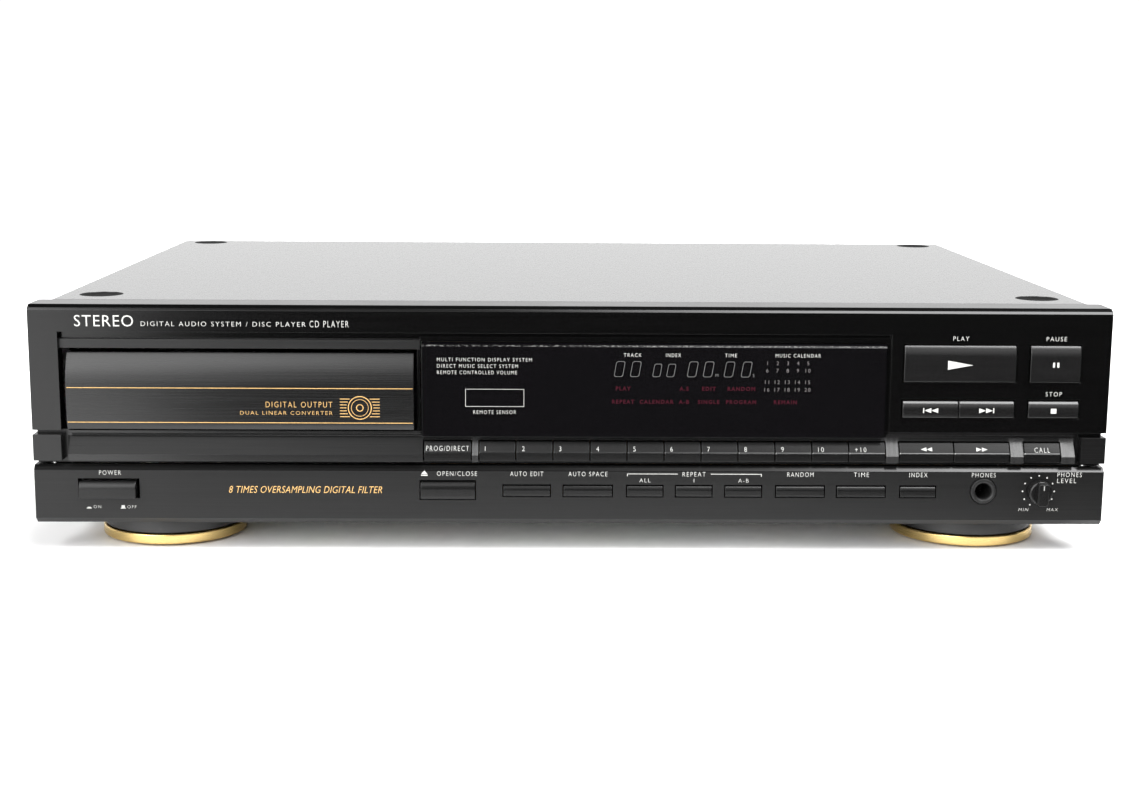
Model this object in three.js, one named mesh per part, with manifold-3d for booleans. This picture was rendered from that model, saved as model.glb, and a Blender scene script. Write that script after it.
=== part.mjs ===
// A full-width home CD player: case, fascia, controls, drawer loader and internals, as separate pieces.
//
// Units are millimetres. +X points right, +Y to the back and +Z up. Every piece is drawn with the front
// face of the fascia at y = 0, the middle of the width at x = 0 and the floor at z = 0. The whole group is
// then moved along Y, so that the origin ends up in the middle of the footprint.

import * as THREE from 'three';
import { mergeVertices } from 'three/addons/utils/BufferGeometryUtils.js';
import Module from 'manifold-3d';

const wasm = await Module();
wasm.setup();

// ---------------------------------------------------------------- driving dimensions

const GAP = 0.3;                      // clearance between neighbouring pieces
const EDGE_GAP = 0.4;                 // visible gap around a push button

// Case
const HALF_WIDTH = 217;
const TOP = 100.9;
const BASE = 11.8;                    // underside of the case, above the feet
const BACK = 296.6;                   // rear edge of the cover
const COVER_HALF = 213.3;
const SHEET = 1.2;                    // steel sheet of the cover, pan and rear panel
const REAR_PANEL_Y = 293.3;
const PAD_X = 196.2;                  // round pads let into the corners of the cover
const PAD_Y = [37, 286];
const PAD_RADIUS = 8.9;
const PAD_DEPTH = 0.5;
const COVER_BEND = 2;                 // outer radius of the cover's long edges

// Chassis: the pan with its front frame, posts and the switch for the mains
const PAN_INSET = 0.5;                // from the cover's inner face to the pan
const FRAME_Y = [19, 19 + SHEET];
const FLANGE_TOP = 26;
const DRAWER_OPENING = { x: [-206, -61], z: [38, 86] };
const POWER_SWITCH = { x: [-196, -179], y: [13.5, 19.5], z: [17, 33] };
const LOADER_POSTS = [[-200, 30], [-67, 30], [-200, 182], [-67, 182]];
const LOADER_POST_RADIUS = 4;
const BOARD_POSTS = [[-40, 70], [120, 70], [-190, 275], [-40, 275], [120, 275], [-190, 212]];
const BOARD_POST_RADIUS = 3;
const VENT = { left: 30, pitch: 14, width: 4, front: 110, length: 40, row: 60, rows: 2, columns: 6 };

// Output jacks on the rear panel, each as [x, z]
const SOCKET_RADIUS = 5.6;
const SOCKET_SLEEVE = 4.15;
const SOCKET_BORE = 1.7;
const SOCKET_END = 305;
const SOCKET_BLOCK_FRONT = 280;
const ANALOGUE_BLOCK = { x: [-96, -56], z: [50, 88] };
const DIGITAL_BLOCK = { x: [-58, -26], z: [60, 78] };
const SOCKETS = [[-86, 78], [-86, 60], [-66, 78], [-66, 60], [-36, 69]];

// Fascia
const FASCIA_DEPTH = 18.1;
const PLATE = 5;                      // thickness of the front plates
const WALL = 3;                       // thickness of the fascia's top and side returns
const TOP_CHAMFER = { y: 2.8, z: 2.1 };   // flat chamfer along the top edge, above a narrow steep bevel
const TOP_BEVEL = { y: 0.75, z: 1.15 };
const UPPER_BOTTOM = 50.2;
const LOWER_TOP = 35.8;
const LOWER_CHAMFER = 1.7;
const FOOT_CHAMFER = 2.2;
const SOFFIT = 90.1;                  // top of the recess that holds the drawer and the display
const BAY_LEFT = -205.3;
const BAY_RIGHT = -61.3;
const BAY_TOP = 83.4;
const BAR_TOP = 87.1;                 // bar across the top of the drawer bay
const BAR_FRONT = 1.5;
const GROOVE_BACK = 3.5;
const DIVIDER = 1.2;                  // wall between the drawer bay and the display

// Display window
const WINDOW_LEFT = -60.6;
const WINDOW_RIGHT = 126.4;
const WINDOW_BOTTOM = 48;
const WINDOW_TOP = 86.3;
const WINDOW_BACK = 4.5;
const WINDOW_CHAMFER = 1.5;
const FRAME_RIGHT = 128.2;            // edge of the recess beside the window
const WINDOW_GROOVE = 2.2;            // height of the step between the window and the groove above it
const DIVIDER_FRONT = 2.5;

// Button rail between the upper and the lower fascia
const RAIL_BOTTOM = LOWER_TOP + GAP;
const RAIL_TOP = UPPER_BOTTOM - GAP;
const RAIL_BACK = 8;
const BLOCK_BOTTOM = 37.6;
const BLOCK_TOP = 48.3;
const BLOCK_LEFT = -205.6;            // inner edge of the left end block
const BLOCK_RIGHT = 207;
const BLOCK_INSET = 0.8;              // side groove above and below an end block
const LEDGE_LEFT = -203;
const LEDGE_RIGHT = 204.7;
const SLOPE_TOP = { y: 4.2, z: 47.3 };
const SLOPE_EDGE = { y: 0, z: 40.3 };
const RAIL_FOOT = 5;                  // the rail's foot is set back under its front edge
const RAIL_LIP = 2;                   // and so is its top, under the upper fascia

// Push buttons
const KEY_TRAVEL = 1;
const POWER_TRAVEL = 3;
const POWER_OPENING = { left: 0.8, right: 1.1, top: 30.4 };
const KEY_BACK = 6.6;
const STEM_END = 10.7;
const SWITCH_FRONT = 12;
const BOARD_FRONT = 14;
const BOARD_THICK = 1.6;
const FRONT_BOARD = { x: [-58, 208], z: [15, 96] };
const NUMBER_KEYS = 11;
const NUMBER_LEFT = -37.6;
const NUMBER_PITCH = 15.03;
const RAIL_KEY_TOP = 45.7;
const RAIL_KEY_EDGE = { y: 0.4, z: 41.6 };
const RAIL_KEY_MIDDLE = 42.2;
const STEM_HALF = { x: 2, z: 1.5 };
const SWITCH_HALF = { x: 3, z: 2.5 };

// Phones jack and level knob
const JACK = { x: 167.8, z: 26.1 };
const JACK_RING = 5.25;
const JACK_BORE = 3.25;
const JACK_BODY = { x: 9, z: 8, back: 40 };   // half width, half height and rear end
const KNOB = { x: 190.5, z: 26.1 };
const KNOB_RADIUS = 4.95;
const KNOB_REACH = 8;
const KNOB_GRIP = 4.2;
const KNOB_SKIRT = [-4.5, -0.4];      // depth range of the knob's round part, in front of the fascia
const KNOB_SHAFT = 3;
const POT_FRONT = 11;
const POT_HALF = 6;

// Feet
const FOOT_X = 168.3;
const FRONT_FOOT_Y = 37.4;
const REAR_FOOT_Y = 255;
const RING_RADIUS = 29.9;
const RING_INNER = 26;
const RING_BOTTOM = 0.9;
const RING_TOP = 5;
const REAR_FOOT_RADIUS = 22;
const FOOT_BODY_RADIUS = RING_RADIUS - 0.7;
const FOOT_CORE_RADIUS = RING_INNER - GAP;

// Drawer and its front
const DRAWER_X = -133.5;              // middle of the drawer, and the disc's axis
const HUB_Y = 78;
const DRAWER_HALF = 68;
const DRAWER_BACK = 172;
const DRAWER_BOTTOM = 57;
const DRAWER_TOP = 62.5;
const DISC_RADIUS = 60.8;
const SMALL_DISC_RADIUS = 40.6;
const DISC_BED = 59.5;                // floors of the two round recesses for a disc
const SMALL_DISC_BED = 58.6;
const SLOT_HALF = 18;
const RUNNER_BOTTOM = 54;
const RUNNER_WIDTH = 3;
const FRONT_LEFT = -203;
const FRONT_RIGHT = -63.9;
const FRONT_BOTTOM = 50.5;
const FRONT_TOP = 81.5;
const FRONT_EDGE = 67.6;              // where the upright lower half meets the sloping upper half
const FRONT_LIP = 53.4;
const FRONT_THICK = 6;
const FRONT_LEAN = 4;                 // how far the upper half falls back at its top

// Rack and gear
const MODULE = 1;
const GEAR_TEETH = 28;
const GEAR_Y = 38;
const RACK_FACE = -195;               // root line of the rack teeth
const TOOTH_DEPTH = 2;
const TOOTH_ROOT_HALF = 0.8;          // half widths of a tooth at its root and at its tip
const TOOTH_TIP_HALF = 0.35;
const RACK_BOTTOM = 53.2;
const GEAR_Z = [53.4, 56.4];
const GEAR_BORE = 2.8;
const PULLEY_Z = [44, 46.5];
const PULLEY_RADIUS = 9;
const GEAR_BOSS = 6;                  // post of the loader frame that the gear sits on

// Loader frame, clamp, traverse
const LOADER_HALF = 73.5;
const LOADER_INNER = 68.7;
const LOADER_FRONT = 21;
const LOADER_BACK = 190;
const LOADER_BASE = 24.3;
const LOADER_TOP = 66;
const BRIDGE_TOP = 86;
const BRIDGE_HALF_LENGTH = 20;
const BRIDGE_THICK = 2;
const RIB_OFFSET = 16;
const SHELF = { inner: 64.9, guide: 65.5, bottom: 50.5, top: 65 };   // ledges that hold the drawer's runners
const WELL_HALF = 38;                 // opening in the loader's base under the traverse
const LUG_WIDTH = 4;
const TRAVERSE_TOP = 47;
const HINGE = { y: 176, z: 45.5 };
const DISC_SEAT = 64;                 // top of the turntable
const PUCK_BOTTOM = 66.1;             // clamp puck, just clear of a disc on the turntable
const LENS_Y = 101;
const HINGE_PIN = 2.5;
const TRAVERSE_HALF = 34.5;
const TRAVERSE_THICK = 3;
const SLED_RAIL = { x: 16, z: 51, radius: 1.5 };
const SLED_RAIL_Y = [94, 166];
const SPINDLE = { shaft: 1.5, bottom: 41, neck: 6, disc: 15, hub: 7.4, under: 58 };
const PUCK = { disc: 15, neck: 8, flange: 12 };
const SLED_HALF = 12;
const SLED_WING = 17.5;

// Boards and the transformer
const BOARD_BOTTOM = 20.3;
const BOARD_OUTLINE = [[-200, 205], [-50, 205], [-50, 62], [130, 62], [130, 284], [-200, 284]];
const CAPACITORS = [                  // x, y, radius, height
  [95, 245, 11, 34], [65, 245, 11, 34], [95, 205, 7, 22], [40, 235, 7, 22], [20, 235, 7, 22]];
const SMALL_CAPACITORS = [            // x, y
  [-20, 90], [0, 90], [20, 90], [-20, 250], [0, 250], [-120, 230], [-150, 230], [100, 90]];
const CHIPS = [                       // x, y, width, depth
  [-30, 120, 22, 22], [20, 130, 40, 15], [70, 130, 30, 11], [20, 170, 24, 12], [-30, 180, 18, 18]];
const HEAT_SINK = { x: [110, 114], y: [150, 200], pitch: 14, fin: 10, top: 55 };
const CORE = { x: [146, 204], y: [228, 266] };
const TUBE = { x: [26, 126], y: [6, 11.5], z: [52, 85], corner: 2 };

// Mains cord behind the case
const CORD_X = 185;
const CORD_Z = 30;
const CORD_RADIUS = 3.2;
const CORD_BACK = 336.5;              // outer side of the plug
const CORD_BUSH = { neck: 6, flange: 8, tail: 5 };
const PLUG = { x: [84, 124], half: 7, height: 12 };
const PLUG_PIN = { radius: 2.2, end: 142, offset: 4, z: 6 };

const KNOB_FRONT = -KNOB_REACH;
const MIDDLE_Y = (KNOB_FRONT + CORD_BACK) / 2;

// ---------------------------------------------------------------- solids

function solidOf(geometry) {
  const bare = geometry.clone();
  bare.deleteAttribute('normal');
  bare.deleteAttribute('uv');
  const merged = mergeVertices(bare, 1e-4);
  const corners = merged.index.array;
  const kept = [];
  for (let i = 0; i < corners.length; i += 3) {
    const [a, b, c] = [corners[i], corners[i + 1], corners[i + 2]];
    if (a !== b && b !== c && c !== a) kept.push(a, b, c);
  }
  return new wasm.Manifold(new wasm.Mesh({
    numProp: 3,
    vertProperties: new Float32Array(merged.attributes.position.array),
    triVerts: new Uint32Array(kept),
  }));
}

function geometryOf(solid) {
  const mesh = solid.getMesh();
  const geometry = new THREE.BufferGeometry();
  geometry.setAttribute('position', new THREE.BufferAttribute(new Float32Array(mesh.vertProperties), 3));
  geometry.setIndex(new THREE.BufferAttribute(new Uint32Array(mesh.triVerts), 1));
  geometry.computeVertexNormals();
  return geometry;
}

const join = (first, ...others) => others.reduce((whole, part) => whole.add(part), first);
const cut = (first, ...others) => others.reduce((whole, part) => whole.subtract(part), first);

// A box from its ranges along X, Y and Z.
function box([x0, x1], [y0, y1], [z0, z1]) {
  const geometry = new THREE.BoxGeometry(x1 - x0, y1 - y0, z1 - z0);
  geometry.translate((x0 + x1) / 2, (y0 + y1) / 2, (z0 + z1) / 2);
  return solidOf(geometry);
}

function extrude(points, length, basis, offset) {
  const shape = new THREE.Shape(points.map(([u, v]) => new THREE.Vector2(u, v)));
  const geometry = new THREE.ExtrudeGeometry(shape, { depth: length, bevelEnabled: false });
  geometry.applyMatrix4(basis);
  geometry.translate(...offset);
  return solidOf(geometry);
}

const X_AXIS = new THREE.Vector3(1, 0, 0);
const Y_AXIS = new THREE.Vector3(0, 1, 0);
const Z_AXIS = new THREE.Vector3(0, 0, 1);
const ALONG_X = new THREE.Matrix4().makeBasis(Y_AXIS, Z_AXIS, X_AXIS);
const ALONG_Y = new THREE.Matrix4().makeBasis(X_AXIS, Z_AXIS, Y_AXIS.clone().negate());
const ALONG_Z = new THREE.Matrix4();

// Prisms: an outline in the plane across the named axis, swept over a range of that axis.
const prismX = (outlineYZ, [x0, x1]) => extrude(outlineYZ, x1 - x0, ALONG_X, [x0, 0, 0]);
const prismY = (outlineXZ, [y0, y1]) => extrude(outlineXZ, y1 - y0, ALONG_Y, [0, y1, 0]);
const prismZ = (outlineXY, [z0, z1]) => extrude(outlineXY, z1 - z0, ALONG_Z, [0, 0, z0]);

function cylinder(radius, length, sides) {
  return new THREE.CylinderGeometry(radius, radius, length, sides);
}

function rodX(radius, [x0, x1], y, z, sides = 20) {
  const geometry = cylinder(radius, x1 - x0, sides).rotateZ(Math.PI / 2);
  return solidOf(geometry.translate((x0 + x1) / 2, y, z));
}

function rodY(radius, [y0, y1], x, z, sides = 20) {
  const geometry = cylinder(radius, y1 - y0, sides);
  return solidOf(geometry.translate(x, (y0 + y1) / 2, z));
}

function rodZ(radius, [z0, z1], x, y, sides = 20) {
  const geometry = cylinder(radius, z1 - z0, sides).rotateX(Math.PI / 2);
  return solidOf(geometry.translate(x, y, (z0 + z1) / 2));
}

// A body turned about an upright axis, from [radius, height] points running upwards along the outside.
function turned(profile, x, y, sides) {
  const points = profile.map(([r, h]) => new THREE.Vector2(r, h));
  const geometry = new THREE.LatheGeometry(points, sides).rotateX(Math.PI / 2);
  return solidOf(geometry.translate(x, y, 0));
}

// Points of an arc in a plane, angles in degrees.
function arc([cu, cv], radius, from, to, steps) {
  const points = [];
  for (let i = 0; i <= steps; i += 1) {
    const angle = THREE.MathUtils.degToRad(from + ((to - from) * i) / steps);
    points.push([cu + radius * Math.cos(angle), cv + radius * Math.sin(angle)]);
  }
  return points;
}

// ---------------------------------------------------------------- assembly

const player = new THREE.Group();
player.position.y = -MIDDLE_Y;

function place(name, solid, color, roughness, metalness) {
  const material = new THREE.MeshStandardMaterial({ color, roughness, metalness });
  const mesh = new THREE.Mesh(geometryOf(solid), material);
  mesh.name = name;
  player.add(mesh);
}

// ---------------------------------------------------------------- push buttons

// A button's section across X: upright lower face, then a rounded slope that leans back to the top.
function keySection({ z, front, edge, lean }) {
  const rise = z[1] - edge;
  const slope = [];
  for (const t of [0.35, 0.7, 1]) {
    slope.push([front + lean * t * t, edge + rise * t]);
  }
  return [[KEY_BACK, z[0]], [front, z[0]], [front, edge], ...slope, [KEY_BACK, z[1]]];
}

function makeKey(name, x, z, front, edge, lean, travel = KEY_TRAVEL) {
  return { name, x, z, front, edge, lean, travel, middle: [(x[0] + x[1]) / 2, (z[0] + z[1]) / 2] };
}

const UPPER_KEYS = [
  makeKey('play_button', [133.4, 178.6], [71.2, 86.2], -1, 78, 2.4),
  makeKey('pause_button', [184.4, 204.8], [71.2, 86.2], -1, 78, 2.4),
  makeKey('skip_back_button', [133.4, 155.9], [56.6, 63.7], -1, 59.6, 2.6),
  makeKey('skip_forward_button', [156.3, 178.6], [56.6, 63.7], -1, 59.6, 2.6),
  makeKey('stop_button', [184.4, 204.8], [56.6, 63.7], -1, 59.6, 2.6),
];

const lowerKey = (name, x) => makeKey(name, x, [23.5, 28], -0.4, 25.8, 1.4);

const LOWER_KEYS = [
  makeKey('open_close_button', [-61.4, -39.3], [22.2, 29.7], -0.6, 25.8, 2),
  lowerKey('auto_edit_button', [-27.8, -8.9]),
  lowerKey('auto_space_button', [-3.4, 16.3]),
  lowerKey('repeat_all_button', [22.4, 36.9]),
  lowerKey('repeat_one_button', [42.3, 56.9]),
  lowerKey('repeat_ab_button', [62.4, 77.1]),
  lowerKey('random_button', [83.1, 102.7]),
  lowerKey('time_button', [108, 127.6]),
  lowerKey('index_button', [133.9, 148.2]),
];

const POWER_KEY = makeKey('power_button', [-198.7, -175.9], [22.6, 29.4], -3, 26.6, 3.2, POWER_TRAVEL);

function numberKeyRange(i) {
  const left = NUMBER_LEFT + i * NUMBER_PITCH;
  return [left, left + NUMBER_PITCH - EDGE_GAP];
}

function numberKeyName(i) {
  return i < NUMBER_KEYS - 1 ? `number_${i + 1}_button` : 'plus_ten_button';
}

const railKey = (name, x) => ({ name, x, travel: KEY_TRAVEL, middle: [(x[0] + x[1]) / 2, RAIL_KEY_MIDDLE] });

const RAIL_KEYS = [
  railKey('program_button', [-59.9, -40.9]),
  ...Array.from({ length: NUMBER_KEYS }, (_, i) => railKey(numberKeyName(i), numberKeyRange(i))),
  railKey('search_back_button', [133.2, 155.2]),
  railKey('search_forward_button', [155.6, 178.1]),
  railKey('call_button', [184.2, 198.8]),
];

// Openings of the rail, each holding one or more of the keys above.
const RAIL_SLOTS = [
  [-60.4, -40.5],
  [NUMBER_LEFT - EDGE_GAP, NUMBER_LEFT + NUMBER_KEYS * NUMBER_PITCH],
  [132.8, 178.5],
  [183.8, 199.2],
];

function keyOpening({ x, z }) {
  return box([x[0] - EDGE_GAP, x[1] + EDGE_GAP], [-1, PLATE + 1], [z[0] - EDGE_GAP, z[1] + EDGE_GAP]);
}

function stem([x, z], end) {
  return box([x - STEM_HALF.x, x + STEM_HALF.x], [KEY_BACK - 1, end], [z - STEM_HALF.z, z + STEM_HALF.z]);
}

function addKey(key, end) {
  place(key.name, join(prismX(keySection(key), key.x), stem(key.middle, end)), 0x2b2c2d, 0.5, 0.2);
}

// The rail's keys follow the rail's own slope.
function addRailKey(key) {
  const { y, z } = RAIL_KEY_EDGE;
  const lean = (SLOPE_TOP.y - SLOPE_EDGE.y) / (SLOPE_TOP.z - SLOPE_EDGE.z);
  const top = [y + (RAIL_KEY_TOP - z) * lean, RAIL_KEY_TOP];
  const bottom = BLOCK_BOTTOM + GAP;
  const section = [[KEY_BACK, bottom], [y, bottom], [y, z], top, [KEY_BACK, RAIL_KEY_TOP]];
  place(key.name, join(prismX(section, key.x), stem(key.middle, STEM_END)), 0x2b2c2d, 0.5, 0.2);
}

function addKeys() {
  [...UPPER_KEYS, ...LOWER_KEYS].forEach((key) => addKey(key, STEM_END));
  addKey(POWER_KEY, POWER_SWITCH.y[0] - POWER_TRAVEL - GAP);
  RAIL_KEYS.forEach(addRailKey);
}

// ---------------------------------------------------------------- fascia

function sideReturns(z) {
  return [-1, 1].map((side) => {
    const x = [side * HALF_WIDTH, side * (HALF_WIDTH - WALL)].sort((a, b) => a - b);
    return box(x, [PLATE - 1, FASCIA_DEPTH], z);
  });
}

function addUpperFascia() {
  const section = [
    [0, UPPER_BOTTOM], [0, TOP - TOP_CHAMFER.z], [TOP_BEVEL.y, TOP - TOP_BEVEL.z], [TOP_CHAMFER.y, TOP],
    [FASCIA_DEPTH, TOP], [FASCIA_DEPTH, TOP - WALL], [PLATE, TOP - WALL], [PLATE, UPPER_BOTTOM],
  ];
  const shell = join(prismX(section, [-HALF_WIDTH, HALF_WIDTH]), ...sideReturns([UPPER_BOTTOM, TOP - WALL]));
  const below = UPPER_BOTTOM - 1;
  const dividerLeft = BAY_RIGHT - DIVIDER;
  const recess = [
    box([BAY_LEFT, FRAME_RIGHT], [-1, BAR_FRONT], [below, SOFFIT]),
    box([BAY_LEFT, BAY_RIGHT], [-1, GROOVE_BACK], [BAR_TOP, SOFFIT]),
    box([BAY_RIGHT - 0.1, FRAME_RIGHT], [-1, GROOVE_BACK], [WINDOW_TOP + WINDOW_GROOVE, SOFFIT]),
    box([BAY_LEFT, dividerLeft], [-1, PLATE + 1], [below, BAY_TOP]),
    box([BAY_RIGHT, WINDOW_RIGHT + GAP], [-1, PLATE + 1], [below, WINDOW_TOP + GAP]),
    box([dividerLeft - 0.1, BAY_RIGHT + 0.1], [-1, DIVIDER_FRONT], [below, BAY_TOP]),
  ];
  place('upper_fascia', cut(shell, ...recess, ...UPPER_KEYS.map(keyOpening)), 0x17181a, 0.45, 0.6);
}

function addButtonRail() {
  const face = [
    [RAIL_BACK, RAIL_BOTTOM], [RAIL_FOOT, RAIL_BOTTOM], [RAIL_FOOT, BLOCK_BOTTOM],
    [SLOPE_EDGE.y, BLOCK_BOTTOM], [SLOPE_EDGE.y, SLOPE_EDGE.z],
    [SLOPE_TOP.y, SLOPE_TOP.z], [SLOPE_TOP.y + 0.3, BLOCK_TOP + 0.2],
    [RAIL_LIP, BLOCK_TOP + 0.5], [RAIL_LIP, RAIL_TOP], [RAIL_BACK, RAIL_TOP],
  ];
  const inner = HALF_WIDTH - BLOCK_INSET;
  const body = join(
    prismX(face, [LEDGE_LEFT, LEDGE_RIGHT]),
    box([-inner, inner], [RAIL_FOOT - 0.5, RAIL_BACK], [RAIL_BOTTOM, RAIL_TOP]),
    box([-HALF_WIDTH, BLOCK_LEFT], [0, RAIL_BACK], [BLOCK_BOTTOM, BLOCK_TOP]),
    box([BLOCK_RIGHT, HALF_WIDTH], [0, RAIL_BACK], [BLOCK_BOTTOM, BLOCK_TOP]),
    ...[-1, 1].flatMap((side) => {
      const outer = [side * HALF_WIDTH, side * (HALF_WIDTH - WALL)].sort((a, b) => a - b);
      const set = [side * inner, side * (inner - WALL)].sort((a, b) => a - b);
      return [
        box(outer, [RAIL_BACK - 1, FASCIA_DEPTH], [BLOCK_BOTTOM, BLOCK_TOP]),
        box(set, [RAIL_BACK - 1, FASCIA_DEPTH], [RAIL_BOTTOM, RAIL_TOP]),
      ];
    }),
  );
  const windowSeat = box(
    [WINDOW_LEFT - 0.6, FRAME_RIGHT], [-1, WINDOW_BACK + GAP], [WINDOW_BOTTOM - GAP, RAIL_TOP + 1]);
  const slots = RAIL_SLOTS.map((x) => box(x, [-1, RAIL_BACK + 1], [BLOCK_BOTTOM, RAIL_KEY_TOP + EDGE_GAP]));
  place('button_rail', cut(body, windowSeat, ...slots), 0x2a2b2c, 0.5, 0.4);
}

function addLowerFascia() {
  const section = [
    [FOOT_CHAMFER, BASE], [0, BASE + FOOT_CHAMFER], [0, LOWER_TOP - LOWER_CHAMFER],
    [LOWER_CHAMFER, LOWER_TOP], [PLATE, LOWER_TOP], [PLATE, BASE],
  ];
  const shell = join(prismX(section, [-HALF_WIDTH, HALF_WIDTH]), ...sideReturns([BASE, LOWER_TOP]));
  const holes = [
    ...LOWER_KEYS.map(keyOpening),
    box([POWER_KEY.x[0] - POWER_OPENING.left, POWER_KEY.x[1] + POWER_OPENING.right], [-1, PLATE + 1],
      [POWER_KEY.z[0] - EDGE_GAP, POWER_OPENING.top]),
    rodY(JACK_RING + GAP, [-1, PLATE + 1], JACK.x, JACK.z, 28),
    rodY(KNOB_SHAFT + GAP, [-1, PLATE + 1], KNOB.x, KNOB.z, 20),
  ];
  place('lower_fascia', cut(shell, ...holes), 0x3a3b3b, 0.6, 0.3);
}

function addDisplayWindow() {
  const section = [
    [0, WINDOW_BOTTOM], [0, WINDOW_TOP - WINDOW_CHAMFER], [WINDOW_CHAMFER, WINDOW_TOP],
    [WINDOW_BACK, WINDOW_TOP], [WINDOW_BACK, WINDOW_BOTTOM],
  ];
  place('display_window', prismX(section, [WINDOW_LEFT, WINDOW_RIGHT]), 0x0c0a0b, 0.08, 0);
}

// ---------------------------------------------------------------- case

function ventSlots() {
  const slots = [];
  for (let row = 0; row < VENT.rows; row += 1) {
    for (let i = 0; i < VENT.columns; i += 1) {
      const x = VENT.left + i * VENT.pitch;
      const y = VENT.front + row * VENT.row;
      slots.push(box([x, x + VENT.width], [y, y + VENT.length], [BASE - 1, BASE + SHEET + 1]));
    }
  }
  return slots;
}

function addChassis() {
  const half = COVER_HALF - SHEET - PAN_INSET;
  const floor = BASE + SHEET;
  const through = [FRAME_Y[0] - 1, FRAME_Y[1] + 1];
  const openings = [
    box(DRAWER_OPENING.x, through, DRAWER_OPENING.z),
    box([JACK.x - JACK_BODY.x - 2, JACK.x + JACK_BODY.x + 2], through, [floor + 2, DRAWER_OPENING.z[0]]),
  ];
  const frame = cut(box([-half, half], FRAME_Y, [BASE, TOP - WALL]), ...openings);
  const pan = cut(box([-half, half], [PLATE + GAP, REAR_PANEL_Y - GAP], [BASE, floor]), ...ventSlots());
  const flanges = [-1, 1].map((side) => {
    const x = [side * half, side * (half - SHEET)].sort((a, b) => a - b);
    return box(x, [FRAME_Y[0], REAR_PANEL_Y - GAP], [BASE, FLANGE_TOP]);
  });
  place('chassis', join(
    pan, frame, ...flanges,
    ...LOADER_POSTS.map(([x, y]) => rodZ(LOADER_POST_RADIUS, [floor - 0.5, LOADER_BASE - GAP], x, y, 12)),
    ...BOARD_POSTS.map(([x, y]) => rodZ(BOARD_POST_RADIUS, [floor - 0.5, BOARD_BOTTOM - GAP], x, y, 10)),
    box(POWER_SWITCH.x, POWER_SWITCH.y, POWER_SWITCH.z),
  ), 0xb9bcbd, 0.45, 0.8);
}

function addRearPanel() {
  const half = COVER_HALF - SHEET - PAN_INSET;
  const panel = box([-half, half], [REAR_PANEL_Y, REAR_PANEL_Y + SHEET], [BASE, TOP - SHEET - GAP]);
  const holes = SOCKETS.map(([x, z]) => rodY(SOCKET_RADIUS + GAP, [REAR_PANEL_Y - 1, BACK], x, z, 12));
  const cordHole = rodY(CORD_BUSH.neck + GAP, [REAR_PANEL_Y - 1, BACK], CORD_X, CORD_Z);
  place('rear_panel', cut(panel, ...holes, cordHole), 0x1c1d1e, 0.55, 0.4);
}

function coverOutline(inset) {
  const half = COVER_HALF - inset;
  const top = TOP - inset;
  const bend = COVER_BEND - inset;
  return [
    ...arc([half - bend, top - bend], bend, 0, 90, 3),
    ...arc([-half + bend, top - bend], bend, 90, 180, 3),
  ];
}

function addTopCover() {
  const bottom = BASE + SHEET;
  const outer = [[COVER_HALF, bottom], ...coverOutline(0), [-COVER_HALF, bottom]];
  const innerHalf = COVER_HALF - SHEET;
  const inner = [[-innerHalf, bottom], ...coverOutline(SHEET).reverse(), [innerHalf, bottom]];
  const sheet = prismY([...outer, ...inner], [FASCIA_DEPTH + GAP, BACK]);
  const dimples = PAD_Y.flatMap((y) => [-PAD_X, PAD_X].map(
    (x) => rodZ(PAD_RADIUS, [TOP - PAD_DEPTH, TOP + 1], x, y, 24)));
  place('top_cover', cut(sheet, ...dimples), 0x1d1e1f, 0.35, 0.5);
}

function addFeet() {
  const top = BASE - GAP;
  const body = [
    [0, 0], [FOOT_CORE_RADIUS - 1.1, 0], [FOOT_CORE_RADIUS, 0.9], [FOOT_CORE_RADIUS, RING_TOP + GAP],
    [FOOT_BODY_RADIUS, RING_TOP + GAP], [FOOT_BODY_RADIUS, top - 0.8],
    [FOOT_BODY_RADIUS - 0.8, top], [0, top],
  ];
  const ring = [
    [RING_INNER, RING_BOTTOM], [RING_RADIUS - 0.4, RING_BOTTOM], [RING_RADIUS, RING_BOTTOM + 0.4],
    [RING_RADIUS, RING_TOP - 0.4], [RING_RADIUS - 0.4, RING_TOP], [RING_INNER, RING_TOP],
    [RING_INNER, RING_BOTTOM],
  ];
  const rear = [
    [0, 0], [REAR_FOOT_RADIUS - 4, 0], [REAR_FOOT_RADIUS - 3, 1.5], [REAR_FOOT_RADIUS, 3],
    [REAR_FOOT_RADIUS, top - 1], [REAR_FOOT_RADIUS - 1, top], [0, top],
  ];
  for (const [side, x] of [['left', -FOOT_X], ['right', FOOT_X]]) {
    place(`foot_front_${side}`, turned(body, x, FRONT_FOOT_Y, 32), 0x1a1a1b, 0.5, 0);
    place(`foot_ring_${side}`, turned(ring, x, FRONT_FOOT_Y, 32), 0xc9a45a, 0.3, 1);
    place(`foot_rear_${side}`, turned(rear, x, REAR_FOOT_Y, 24), 0x1a1a1b, 0.6, 0);
  }
}

// ---------------------------------------------------------------- drawer and loader

const PITCH_RADIUS = (MODULE * GEAR_TEETH) / 2;
const TOOTH_PITCH = Math.PI * MODULE;
const GEAR_X = RACK_FACE + TOOTH_DEPTH / 2 + 0.15 + PITCH_RADIUS;
const RACK_START = 12;
const RACK_TEETH = 49;

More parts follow.
